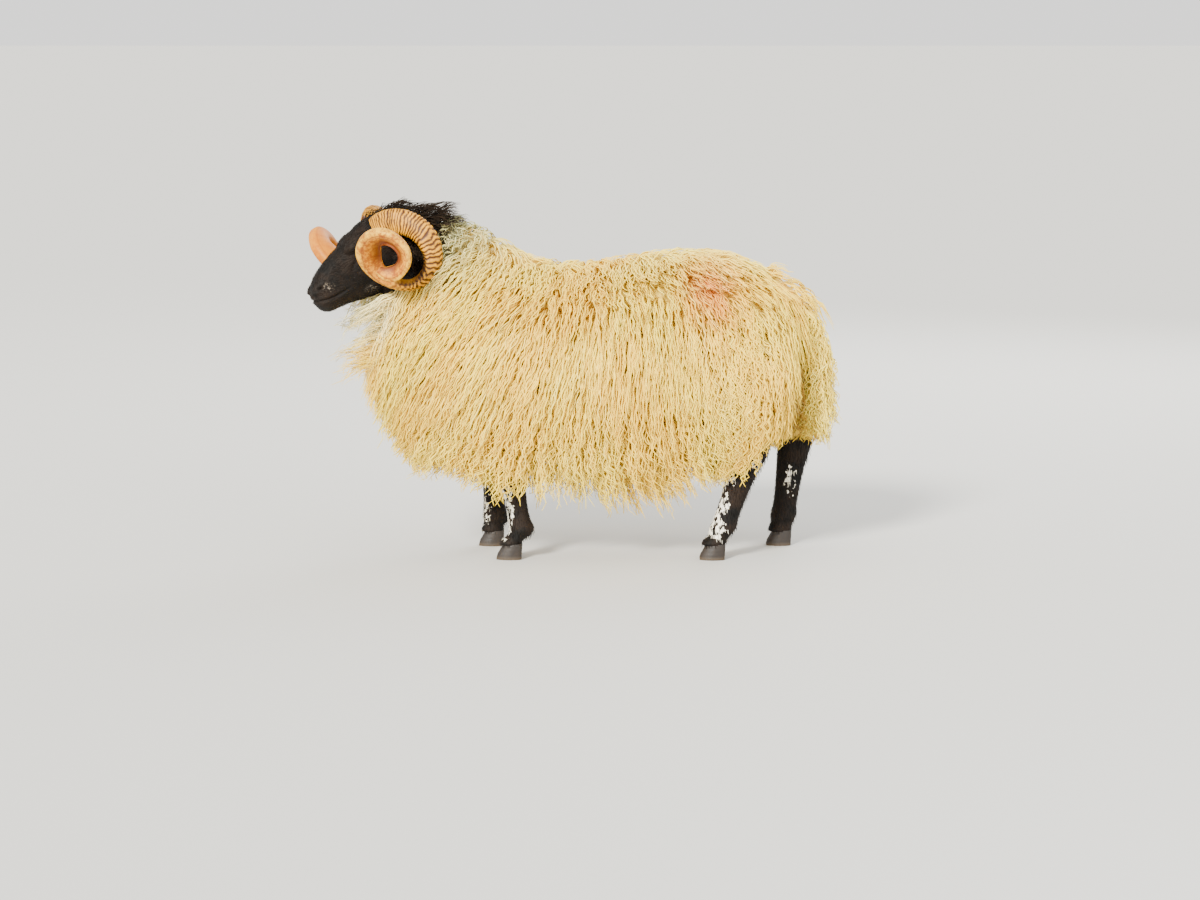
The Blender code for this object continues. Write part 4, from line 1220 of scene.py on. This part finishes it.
def hornRings(side):
    shape = hornShape
    toe = math.radians(shape["toe"][side < 0])
    ahead = Vector((-math.sin(toe), -math.cos(toe), 0))
    line = []
    for row in smoothRows(shape["line"], shape["rings"]):
        turn, radius, forwards, up, outwards, wide, thick = row
        angle = math.radians(turn)
        arm = ahead * math.cos(angle) + Vector((0, 0, math.sin(angle)))
        if side < 0:
            forwards += shape["rightForward"] * min(1.0, max(0.0, (turn - 165) / 240))
        line.append((Vector((outwards, -forwards, up)) + arm * radius, arm, wide, thick))
    rings, values, phase = [], [], 0.0
    steps = np.array(shape["ridgeSteps"])
    for n, (middle, arm, wide, thick) in enumerate(line):
        share = n / (len(line) - 1)
        before, after = line[max(n - 1, 0)][0], line[min(n + 1, len(line) - 1)][0]
        along = (after - before).normalized()
        # no two ridges alike
        stretch = 1 + 0.22 * math.sin(phase * 2.3) + 0.16 * math.sin(phase * 0.81)
        phase += (middle - before).length * stretch / float(np.interp(share, *steps.T))
        outer = (arm - along * arm.dot(along)).normalized()
        face = along.cross(outer)
        if face.x < 0:
            face = -face
        cup = float(ease(share, 0.375, 0.49))
        fade = 1 - float(ease(share, 0.33, 0.46))
        tall = 0.75 + 0.25 * math.sin(phase * 1.9 + 2)
        ring, marks = [], []
        for i in range(shape["sides"]):
            turn = math.tau * i / shape["sides"]
            c, s = math.cos(turn), math.sin(turn)
            wobble = 0.30 * math.sin(2.0 * turn + 5.0 * share)
            wobble += 0.16 * math.sin(5.0 * turn + 31.0 * share)
            wobble += 0.10 * math.sin(9.0 * turn - 57.0 * share)
            crest = abs(math.sin(math.pi * (phase + wobble))) ** 0.7
            outside = float(ease(c + 0.5 * s, -1.25, -0.45))
            rough = (crest - 0.6) * shape["ridge"] * fade * tall * (0.15 + 0.85 * outside)
            across = c * wide * (1 + 0.10 * c)
            lift = s * thick * (1 - 0.35 * c)
            if s > 0:
                funnel = thick * (-0.35 + 1.45 * float(ease(c, -0.95, 0.70)))
                lift = lift * (1 - cup) + cup * (s**0.35 * funnel)
            point = middle + outer * (across + c * rough) + face * (lift + s * rough)
            ring.append(headMatrix @ Vector((side * point.x, point.y, point.z)))
            rim = float(ease(c, 0.42, 0.70) * ease(s, -0.7, -0.2))
            # painted shadow on the inner side of the first coil, where the next coil shades it
            gap = float(ease(-c, 0.30, 0.75) * ease(share, 0.16, 0.24)) * fade
            # the bowl of the second coil, stronger towards the hole, where painted shade deepens
            bowl = cup * (s > 0) * (1 - 0.75 * float(ease(c, -0.85, 0.65)))
            marks.append((crest, rim * cup, bowl - gap * (1 - cup), outside * fade))
        rings.append(ring)
        values.append(marks)
    return rings, values


def makeHorn(side, finish):
    name = "horn_left" if side > 0 else "horn_right"
    rings, values = hornRings(side)
    horn = extrudeRings(name, rings)
    colours = np.array(values)
    ringOf = np.array([entry.value for entry in horn.data.attributes["ring"].data])
    cornerOf = np.array([entry.value for entry in horn.data.attributes["corner"].data])
    layer = horn.data.attributes.new("horn", "FLOAT_COLOR", "POINT")
    layer.data.foreach_set("color", colours[ringOf, cornerOf].ravel())
    pickOnly(horn)
    bpy.ops.object.shade_smooth()
    finishPiece(horn, name + "_fine", finish, (name,))


# Eyes and hooves

def makeEye(side, finish):
    name = "eye_left" if side > 0 else "eye_right"
    radius = headPlace["eyeRadius"]
    eye = addBall(name, onHead(*headPlace["eye"], side), (radius,) * 3, 48, 32)
    pickOnly(eye)
    bpy.ops.object.shade_smooth()
    finishPiece(eye, name + "_ball", finish, (name,))


hoofShape = {
    "height": 0.040,
    "length": 0.064,
    "width": 0.026,
    "spread": 0.0145,
    "points": 28,
    # height, length, width and set-back of a claw's sections, as shares of its sizes but the last
    "sections": (
        (0.00, 0.97, 0.95, 0.0005),
        (0.04, 1.00, 1.00, 0.0005),
        (0.30, 0.965, 0.98, 0.0020),
        (0.70, 0.84, 0.92, 0.0070),
        (0.94, 0.75, 0.87, 0.0095),
        (1.00, 0.70, 0.82, 0.0100),
    ),
}


def makeClaw(foot, side, finish):
    kind, x, y, lean = legShape["feet"][foot]
    shape = hoofShape
    middleY = y - 0.012 * (lean if kind == "fore" else 0) - 0.004
    rings = []
    for n, (rise, longer, wider, back) in enumerate(smoothRows(shape["sections"], 36)):
        ring = []
        groove = 1 - 0.012 * (n % 5 == 2) - 0.006 * (n % 5 in (1, 3))  # growth rings round the wall
        for i in range(shape["points"]):
            turn = math.tau * i / shape["points"]
            toe = max(0.0, -math.sin(turn))
            across = math.cos(turn) * shape["width"] / 2 * wider * (1 - 0.35 * toe**2) * groove
            along = math.sin(turn) * shape["length"] / 2 * longer * groove + back
            place = x + side * (shape["spread"] - 0.002 * toe) + across
            height = min(1.0, max(0.0, rise)) * shape["height"]
            ring.append(Vector((place, middleY + along, height)))
        rings.append(ring)
    end = "outer" if side * x > 0 else "inner"
    claw = extrudeRings("claw", rings)
    bpy.ops.object.shade_smooth_by_angle(angle=math.radians(40))
    finishPiece(claw, f"claw_{foot}_{end}", finish, (f"hoof_{foot}_{end}",))


# Colours

woolTints = {
    "bright": tint(255, 229, 84),
    "mid": tint(254, 214, 70),
    "deep": tint(219, 163, 58),
    "root": tint(238, 198, 102),
    # grey: painted shade, the whitish neck wool as it looks in shade
    "grey": tint(186, 188, 144),
    # white: for paler strands, and for the painted light along the top of the fleece
    "white": tint(255, 246, 160),
    "pale": tint(250, 244, 196),
    "pink": tint(240, 118, 78),
    # dark brown for the cleft between the thighs and the tail: partly real dirt, partly painted
    # shade
    "dirt_and_shade": tint(118, 70, 24),
    # tail: a lighter tint for the painted light on the tail
    "tail": tint(255, 232, 100),
}


woolPatches = {
    # middle, radii, share of the radii where it starts to fade, strength, tint
    # nape: painted shade, the neck wool greyed as in shade
    "nape": ((0, -0.33, 0.80), (0.22, 0.17, 0.13), 0.2, 0.9, "grey"),
    "throat": ((0.02, -0.50, 0.66), (0.15, 0.13, 0.14), 0.35, 0.9, "pale"),
    "mark": ((0.145, 0.320, 0.700), (0.17, 0.095, 0.090), 0.0, 0.66, "pink"),
    # tail: painted light, the tail's wool lightened as if in full light
    "tail": ((0.0, 0.625, 0.46), (0.10, 0.060, 0.30), 0.5, 0.6, "tail"),
    # the cleft between the thighs and the tail: partly real dirt, partly painted shade
    "soiled_and_shaded": ((0.0, 0.546, 0.46), (0.26, 0.046, 0.21), 0.45, 0.9, "dirt_and_shade"),
}


def woolColour(finish, place):
    tints = woolTints
    mottle = finish.step(finish.noise(place, 7.0, 3.0), 0.40, 0.66)
    colour = finish.blend(mottle, tints["mid"], tints["bright"])
    stain = finish.step(finish.noise(place, 3.2, 3.0, 0.6), 0.50, 0.72)
    colour = finish.blend(stain * 0.22, colour, tints["deep"])
    height = finish.axis(place, "Z")
    colour = finish.blend((1 - finish.step(height, 0.18, 0.42)) * 0.22, colour, tints["deep"])
    # painted light: the top of the fleece turns towards the white tint, as if lit from above
    colour = finish.blend(finish.step(height, 0.68, 0.76) * 0.25, colour, tints["white"])
    ragged = {
        "mark": finish.noise(place, 14.0, 3.0) * 0.8 + 0.5,
        "soiled_and_shaded": finish.step(finish.noise(place, 20.0), 0.25, 0.5),
    }
    for name, (middle, radii, inner, strength, shade) in woolPatches.items():
        cover = finish.patch(place, middle, radii, inner)
        if name in ragged:
            cover = cover * ragged[name]
        colour = finish.blend(cover * strength, colour, tints[shade])
    return colour


def strandValues(finish):
    # a strand's tone, and the place along it
    strand = finish.attribute("strand", "Color")
    return finish.channel(strand, "Red"), finish.channel(strand, "Green")


def woolFinish():
    finish = Finish("wool", Roughness=0.9, Specular_IOR_Level=0.2)
    tone, along = strandValues(finish)
    colour = woolColour(finish, finish.attribute("root", "Vector"))
    colour = finish.blend((1 - finish.step(tone, 0.05, 0.45)) * 0.36, colour, woolTints["deep"])
    colour = finish.blend(finish.step(tone, 0.58, 0.95) * 0.28, colour, woolTints["white"])
    colour = finish.blend((1 - finish.step(along, 0.0, 0.35)) * 0.45, colour, woolTints["root"])
    finish.colour(colour)
    return finish.material


hairTints = {
    "black": tint(9, 7, 5),
    "brown": tint(32, 22, 14),
    # grey: for grey hairs, and for the painted highlights on the face
    "grey": tint(140, 128, 112),
    "white": tint(250, 244, 226),
    "nape": tint(62, 46, 30),
}


hairPatches = {
    # outwards, forwards and up from the poll, radii, and strength of the grey glints, painted
    # highlights on the muzzle and jaw
    "glints": (
        ((0.040, 0.238, -0.056), (0.020, 0.020, 0.016), 0.9),
        ((-0.040, 0.238, -0.056), (0.020, 0.020, 0.016), 0.9),
        ((0.045, 0.154, -0.126), (0.022, 0.020, 0.016), 1.0),
        ((-0.045, 0.154, -0.126), (0.022, 0.020, 0.016), 1.0),
        ((0, 0.25, -0.11), (0.05, 0.04, 0.03), 0.35),
    ),
    # middle, radii, and how far the white spreads on the legs
    "white": (
        ((0.118, 0.392, 0.215), (0.06, 0.028, 0.050), 0.27),
        ((0.118, 0.374, 0.150), (0.06, 0.032, 0.050), 0.29),
        ((0.118, 0.358, 0.085), (0.06, 0.038, 0.055), 0.32),
        ((0.118, 0.460, 0.240), (0.06, 0.030, 0.030), 0.24),
        ((0.112, -0.175, 0.130), (0.06, 0.032, 0.110), 0.29),
        ((-0.118, 0.556, 0.180), (0.06, 0.026, 0.080), 0.22),
        ((-0.112, -0.235, 0.120), (0.06, 0.030, 0.090), 0.25),
    ),
}


def hairColour(finish, place):
    # black hair with the white patches of the legs, and grey glints painted on the face as
    # highlights
    mottle = finish.step(finish.noise(place, 26.0, 4.0), 0.35, 0.7)
    colour = finish.blend(mottle, hairTints["black"], hairTints["brown"])
    # spots of painted highlight, shown within the patches listed above
    glints = finish.step(finish.noise(place, 210.0, 2.0, 0.6), 0.55, 0.62)
    for middle, radii, strength in hairPatches["glints"]:
        near = finish.patch(place, onHead(*middle), radii, 0.2)
        colour = finish.blend(near * glints * strength, colour, hairTints["grey"])
    edges = finish.noise(place, 85.0, 3.0, 0.5)
    for middle, radii, reach in hairPatches["white"]:
        inside = finish.patch(place, middle, radii, 0.55)
        shown = finish.step(edges + inside * reach, 0.775, 0.795)
        colour = finish.blend(shown * finish.step(inside, 0.0, 0.1), colour, hairTints["white"])
    return colour


def hairFinish():
    finish = Finish("short_hair", Roughness=0.6, Specular_IOR_Level=0.15)
    tone, along = strandValues(finish)
    colour = hairColour(finish, finish.attribute("root", "Vector"))
    colour = finish.blend(finish.step(tone, 0.55, 1.0) * 0.06, colour, hairTints["grey"])
    finish.colour(finish.blend((1 - along) * 0.4, colour, hairTints["black"]))
    return finish.material


def pollFinish():
    finish = Finish("poll_hair", Roughness=0.8, Specular_IOR_Level=0.15)
    tone, along = strandValues(finish)
    colour = finish.blend(tone * 0.8, hairTints["black"], hairTints["nape"])
    behind = finish.axis(finish.attribute("root", "Vector"), "Y")
    # pale strands at the back of the poll, in the nape's grey, which is painted shade
    pale = finish.step(behind, -0.355, -0.325) * finish.step(tone, 0.55, 0.85)
    colour = finish.blend(pale * 0.7, colour, woolTints["grey"])
    finish.colour(finish.blend((1 - along) * 0.5, colour, hairTints["black"]))
    return finish.material


def skinFinish():
    finish = Finish("hair_and_skin", Roughness=0.7, Specular_IOR_Level=0.2)
    place = finish.objectPlace()
    wool = finish.blend(0.3, woolColour(finish, place), woolTints["root"])
    height = finish.axis(place, "Z")
    turned = headMatrix.to_3x3()
    jaw = finish.beyond(place, onHead(0, 0.1, -0.168), turned @ Vector((0, 0, 1)))
    front = finish.beyond(place, onHead(0, -0.015, 0), turned @ Vector((0, -1, 0)))
    face = finish.step(jaw, -0.002, 0.002) * finish.step(front, -0.004, 0.004)
    body = finish.step(height, 0.275, 0.300) * (1 - face)
    nape = 1 - finish.step(finish.axis(place, "Y") - height * 0.5, -0.755, -0.735)
    upper = finish.step(height, 0.68, 0.70) * nape
    finish.colour(finish.blend(body * (1 - upper), hairColour(finish, place), wool))
    grain = finish.noise(place, 420.0, 3.0) * 0.6 + finish.noise(place, 120.0, 2.0) * 0.4
    finish.bump(grain, 0.0012)
    return finish.material


hornTints = {
    # groove: dark brown, partly the horn's own colour and partly painted shade in the grooves
    "groove": tint(70, 34, 0),
    "crest": tint(224, 156, 16),
    "plainDark": tint(184, 102, 2),
    "plain": tint(240, 168, 8),
    "bowlDark": tint(156, 80, 0),
    "bowl": tint(222, 146, 6),
    # deep: dark brown for the painted shade down the bowl and in the crease under its rim
    "deep": tint(104, 42, 0),
    # gap: near black, painted shadow inside the first coil
    "gap": tint(40, 18, 6),
    "rimDark": tint(160, 92, 4),
    "rim": tint(238, 182, 40),
    "warm": tint(196, 108, 0),
}


def hornFinish(warmth):
    tints = hornTints
    finish = Finish("horn_growth", Roughness=0.45, Specular_IOR_Level=0.3)
    place = finish.objectPlace()
    marks = finish.attribute("horn", "Color")
    crest, rim, cup = (finish.channel(marks, name) for name in ("Red", "Green", "Blue"))
    ridge = finish.attribute("horn", "Alpha")
    mottle = finish.noise(place, 55.0, 4.0, 0.6)
    streak = finish.noise(place, 160.0, 3.0, 0.6)
    # the grooves between ridges darker: partly the horn's own colour, partly painted shade
    raised = finish.step(crest + mottle * 0.9 + streak * 0.6 - 0.75, 0.42, 1.15)
    ridged = finish.blend(raised, tints["groove"], tints["crest"])
    plain = finish.blend(finish.step(mottle, 0.30, 0.62), tints["plainDark"], tints["plain"])
    colour = finish.blend(ridge, plain, ridged)
    grain = finish.step(streak * 0.5 + mottle * 0.5, 0.40, 0.60)
    inside = finish.blend(grain, tints["bowlDark"], tints["bowl"])
    # painted shade: the bowl darkens towards the hole, down the funnel
    inside = finish.blend(finish.step(cup, 0.45, 1.0) * 0.9, inside, tints["deep"])
    colour = finish.blend(finish.step(cup, 0.02, 0.12), colour, inside)
    # painted shadow: the inner side of the first coil darkened to the gap tint
    colour = finish.blend(finish.step(0.0 - cup, 0.05, 0.8) * 0.85, colour, tints["gap"])
    grain = finish.step(mottle * 0.6 + streak * 0.4, 0.38, 0.60)
    edge = finish.blend(grain, tints["rimDark"], tints["rim"])
    colour = finish.blend(rim * 0.9, colour, edge)
    # painted shade in the crease between the bowl and its rim
    creaseShade = finish.step(rim, 0.02, 0.12) * (1 - finish.step(rim, 0.20, 0.50))
    colour = finish.blend(creaseShade * 0.55, colour, tints["deep"])
    finish.colour(finish.blend((1 - ridge) * warmth, colour, tints["warm"]))
    finish.roughness(0.40 + streak * 0.25)
    finish.bump(streak * 0.6 + mottle * 0.4, 0.0008)
    return finish.material


eyeLook = {
    "irisDark": tint(112, 62, 8),
    "iris": tint(186, 118, 26),
    "pupil": tint(4, 4, 6),
    "rim": tint(28, 18, 12),
    "pupilEdge": (0.0062, 0.0070),  # half its length, fading out
    "pupilShare": 2.4,  # length over height
    "irisEdge": (0.0095, 0.0115),
}


def eyeFinish(side):
    look = eyeLook
    finish = Finish("eye_amber", Roughness=0.10)
    middle = onHead(*headPlace["eye"], side) + moveToSolids
    inputs = {
        "Vector": finish.objectPlace(),
        "Location": tuple(middle),
        "Rotation": tuple(eyeFrame(side).to_euler()),
    }
    place = finish.node("ShaderNodeMapping", {"vector_type": "TEXTURE"}, inputs)

    def away(upwards):
        flat = finish.vectors("MULTIPLY", place, (0.0, 1.0, upwards))
        return finish.vectors("LENGTH", flat, output="Value")

    iris = finish.blend(finish.noise(place, 500.0, 3.0), look["irisDark"], look["iris"])
    slot = 1 - finish.step(away(look["pupilShare"]), *look["pupilEdge"])
    iris = finish.blend(slot, iris, look["pupil"])
    finish.colour(finish.blend(finish.step(away(1.0), *look["irisEdge"]), iris, look["rim"]))
    return finish.material


hoofTints = {"dark": tint(14, 10, 8), "light": tint(46, 35, 25), "worn": tint(86, 70, 50)}


def hoofFinish():
    finish = Finish("hoof_horn", Roughness=0.5)
    place = finish.objectPlace()
    mottle = finish.noise(place, 70.0, 4.0, 0.6)
    colour = finish.blend(mottle, hoofTints["dark"], hoofTints["light"])
    worn = 1 - finish.step(finish.axis(place, "Z"), 0.0, 0.012)
    finish.colour(finish.blend(worn * 0.6, colour, hoofTints["worn"]))
    finish.roughness(0.4 + mottle * 0.3)
    finish.bump(finish.noise(place, 300.0, 3.0), 0.0006)
    return finish.material


# Floor, light and camera

stageLook = {
    "floor": 160,
    "floorTint": tint(206, 206, 202),
    "sky": 1.5,
    "skyColour": (1.0, 0.99, 0.97, 1),
    "sunWidth": 12,
    "sunColour": (1.0, 0.96, 0.88),
    "areaSize": 3.0,
    "aim": (0, 0, 0.45),
    # kind, place and power of each light
    "lights": {
        "sun": ("SUN", (3.8, -1.7, 2.8), 7.8),
        "fill": ("AREA", (4.5, 3.0, 1.6), 110),
        "back": ("AREA", (-4.6, 2.2, 3.4), 190),
    },
}


def aimAt(target, place):
    return (Vector(target) - Vector(place)).to_track_quat("-Z", "Y").to_euler()


def makeStage():
    look = stageLook
    bpy.ops.object.select_all(action="DESELECT")
    bpy.ops.mesh.primitive_plane_add(size=look["floor"])
    floor = bpy.context.object
    floor.name = "floor"
    finish = Finish("floor_pale", Roughness=0.9)
    finish.colour(look["floorTint"])
    floor.data.materials.append(finish.material)
    world = bpy.data.worlds.new("studio")
    bpy.context.scene.world = world
    world.use_nodes = True
    sky = world.node_tree.nodes["Background"].inputs
    sky["Color"].default_value = look["skyColour"]
    sky["Strength"].default_value = look["sky"]
    for name, (kind, place, power) in look["lights"].items():
        light = bpy.data.lights.new(name, kind)
        light.energy = power
        if kind == "SUN":
            light.angle = math.radians(look["sunWidth"])
            light.color = look["sunColour"]
        else:
            light.size = look["areaSize"]
        lamp = bpy.data.objects.new(name, light)
        lamp.location = place
        lamp.rotation_euler = aimAt(look["aim"], place)
        bpy.context.scene.collection.objects.link(lamp)


cameraView = {
    "distance": 9.0,
    "pitch": 7.5,  # degrees that it looks down
    "focalPixels": 3510,
    "imagePixels": 1200,
    "sensor": 36,
    "target": (0.0, 0.064, 0.264),
}


def makeCamera():
    view = cameraView
    camera = bpy.data.cameras.new("camera")
    camera.sensor_width = view["sensor"]
    camera.lens = view["sensor"] * view["focalPixels"] / view["imagePixels"]
    pitch = math.radians(view["pitch"])
    target = Vector(view["target"]) + moveToSolids
    holder = bpy.data.objects.new("camera", camera)
    holder.location = target + Vector((math.cos(pitch), 0, math.sin(pitch))) * view["distance"]
    holder.rotation_euler = aimAt(target, holder.location)
    bpy.context.scene.collection.objects.link(holder)
    bpy.context.scene.camera = holder


skin = makeSkin()
skinTree = BVHTree.FromObject(skin, bpy.context.evaluated_depsgraph_get())
wool, hair = woolFinish(), hairFinish()
makeFleece(wool)
makeCoat("tail_wool", isTail, combTail, tailShape, wool)
makeCoat("throat_wool", isThroat, combThroat, throatShape, wool)
makeCoat("poll_wool", isPoll, combPoll, pollShape, pollFinish())
makeCoat("face_hair", isFaceHair, combFace, faceHair, hair, unwrapHead)
makeCoat("leg_hair", isLegHair, combLegs, legHair, hair, unwrapLegs)
flesh = ["head", "neck", "torso", "tail", "ear_left", "ear_right", *legShape["feet"]]
finishPiece(skin, "skin", skinFinish(), flesh)
hoofLook = hoofFinish()
for side in (1, -1):
    makeHorn(side, hornFinish(0.0 if side > 0 else 0.75))
    makeEye(side, eyeFinish(side))
    for foot in legShape["feet"]:
        makeClaw(foot, side, hoofLook)
print("horns, eyes and hooves")
makeStage()
makeCamera()
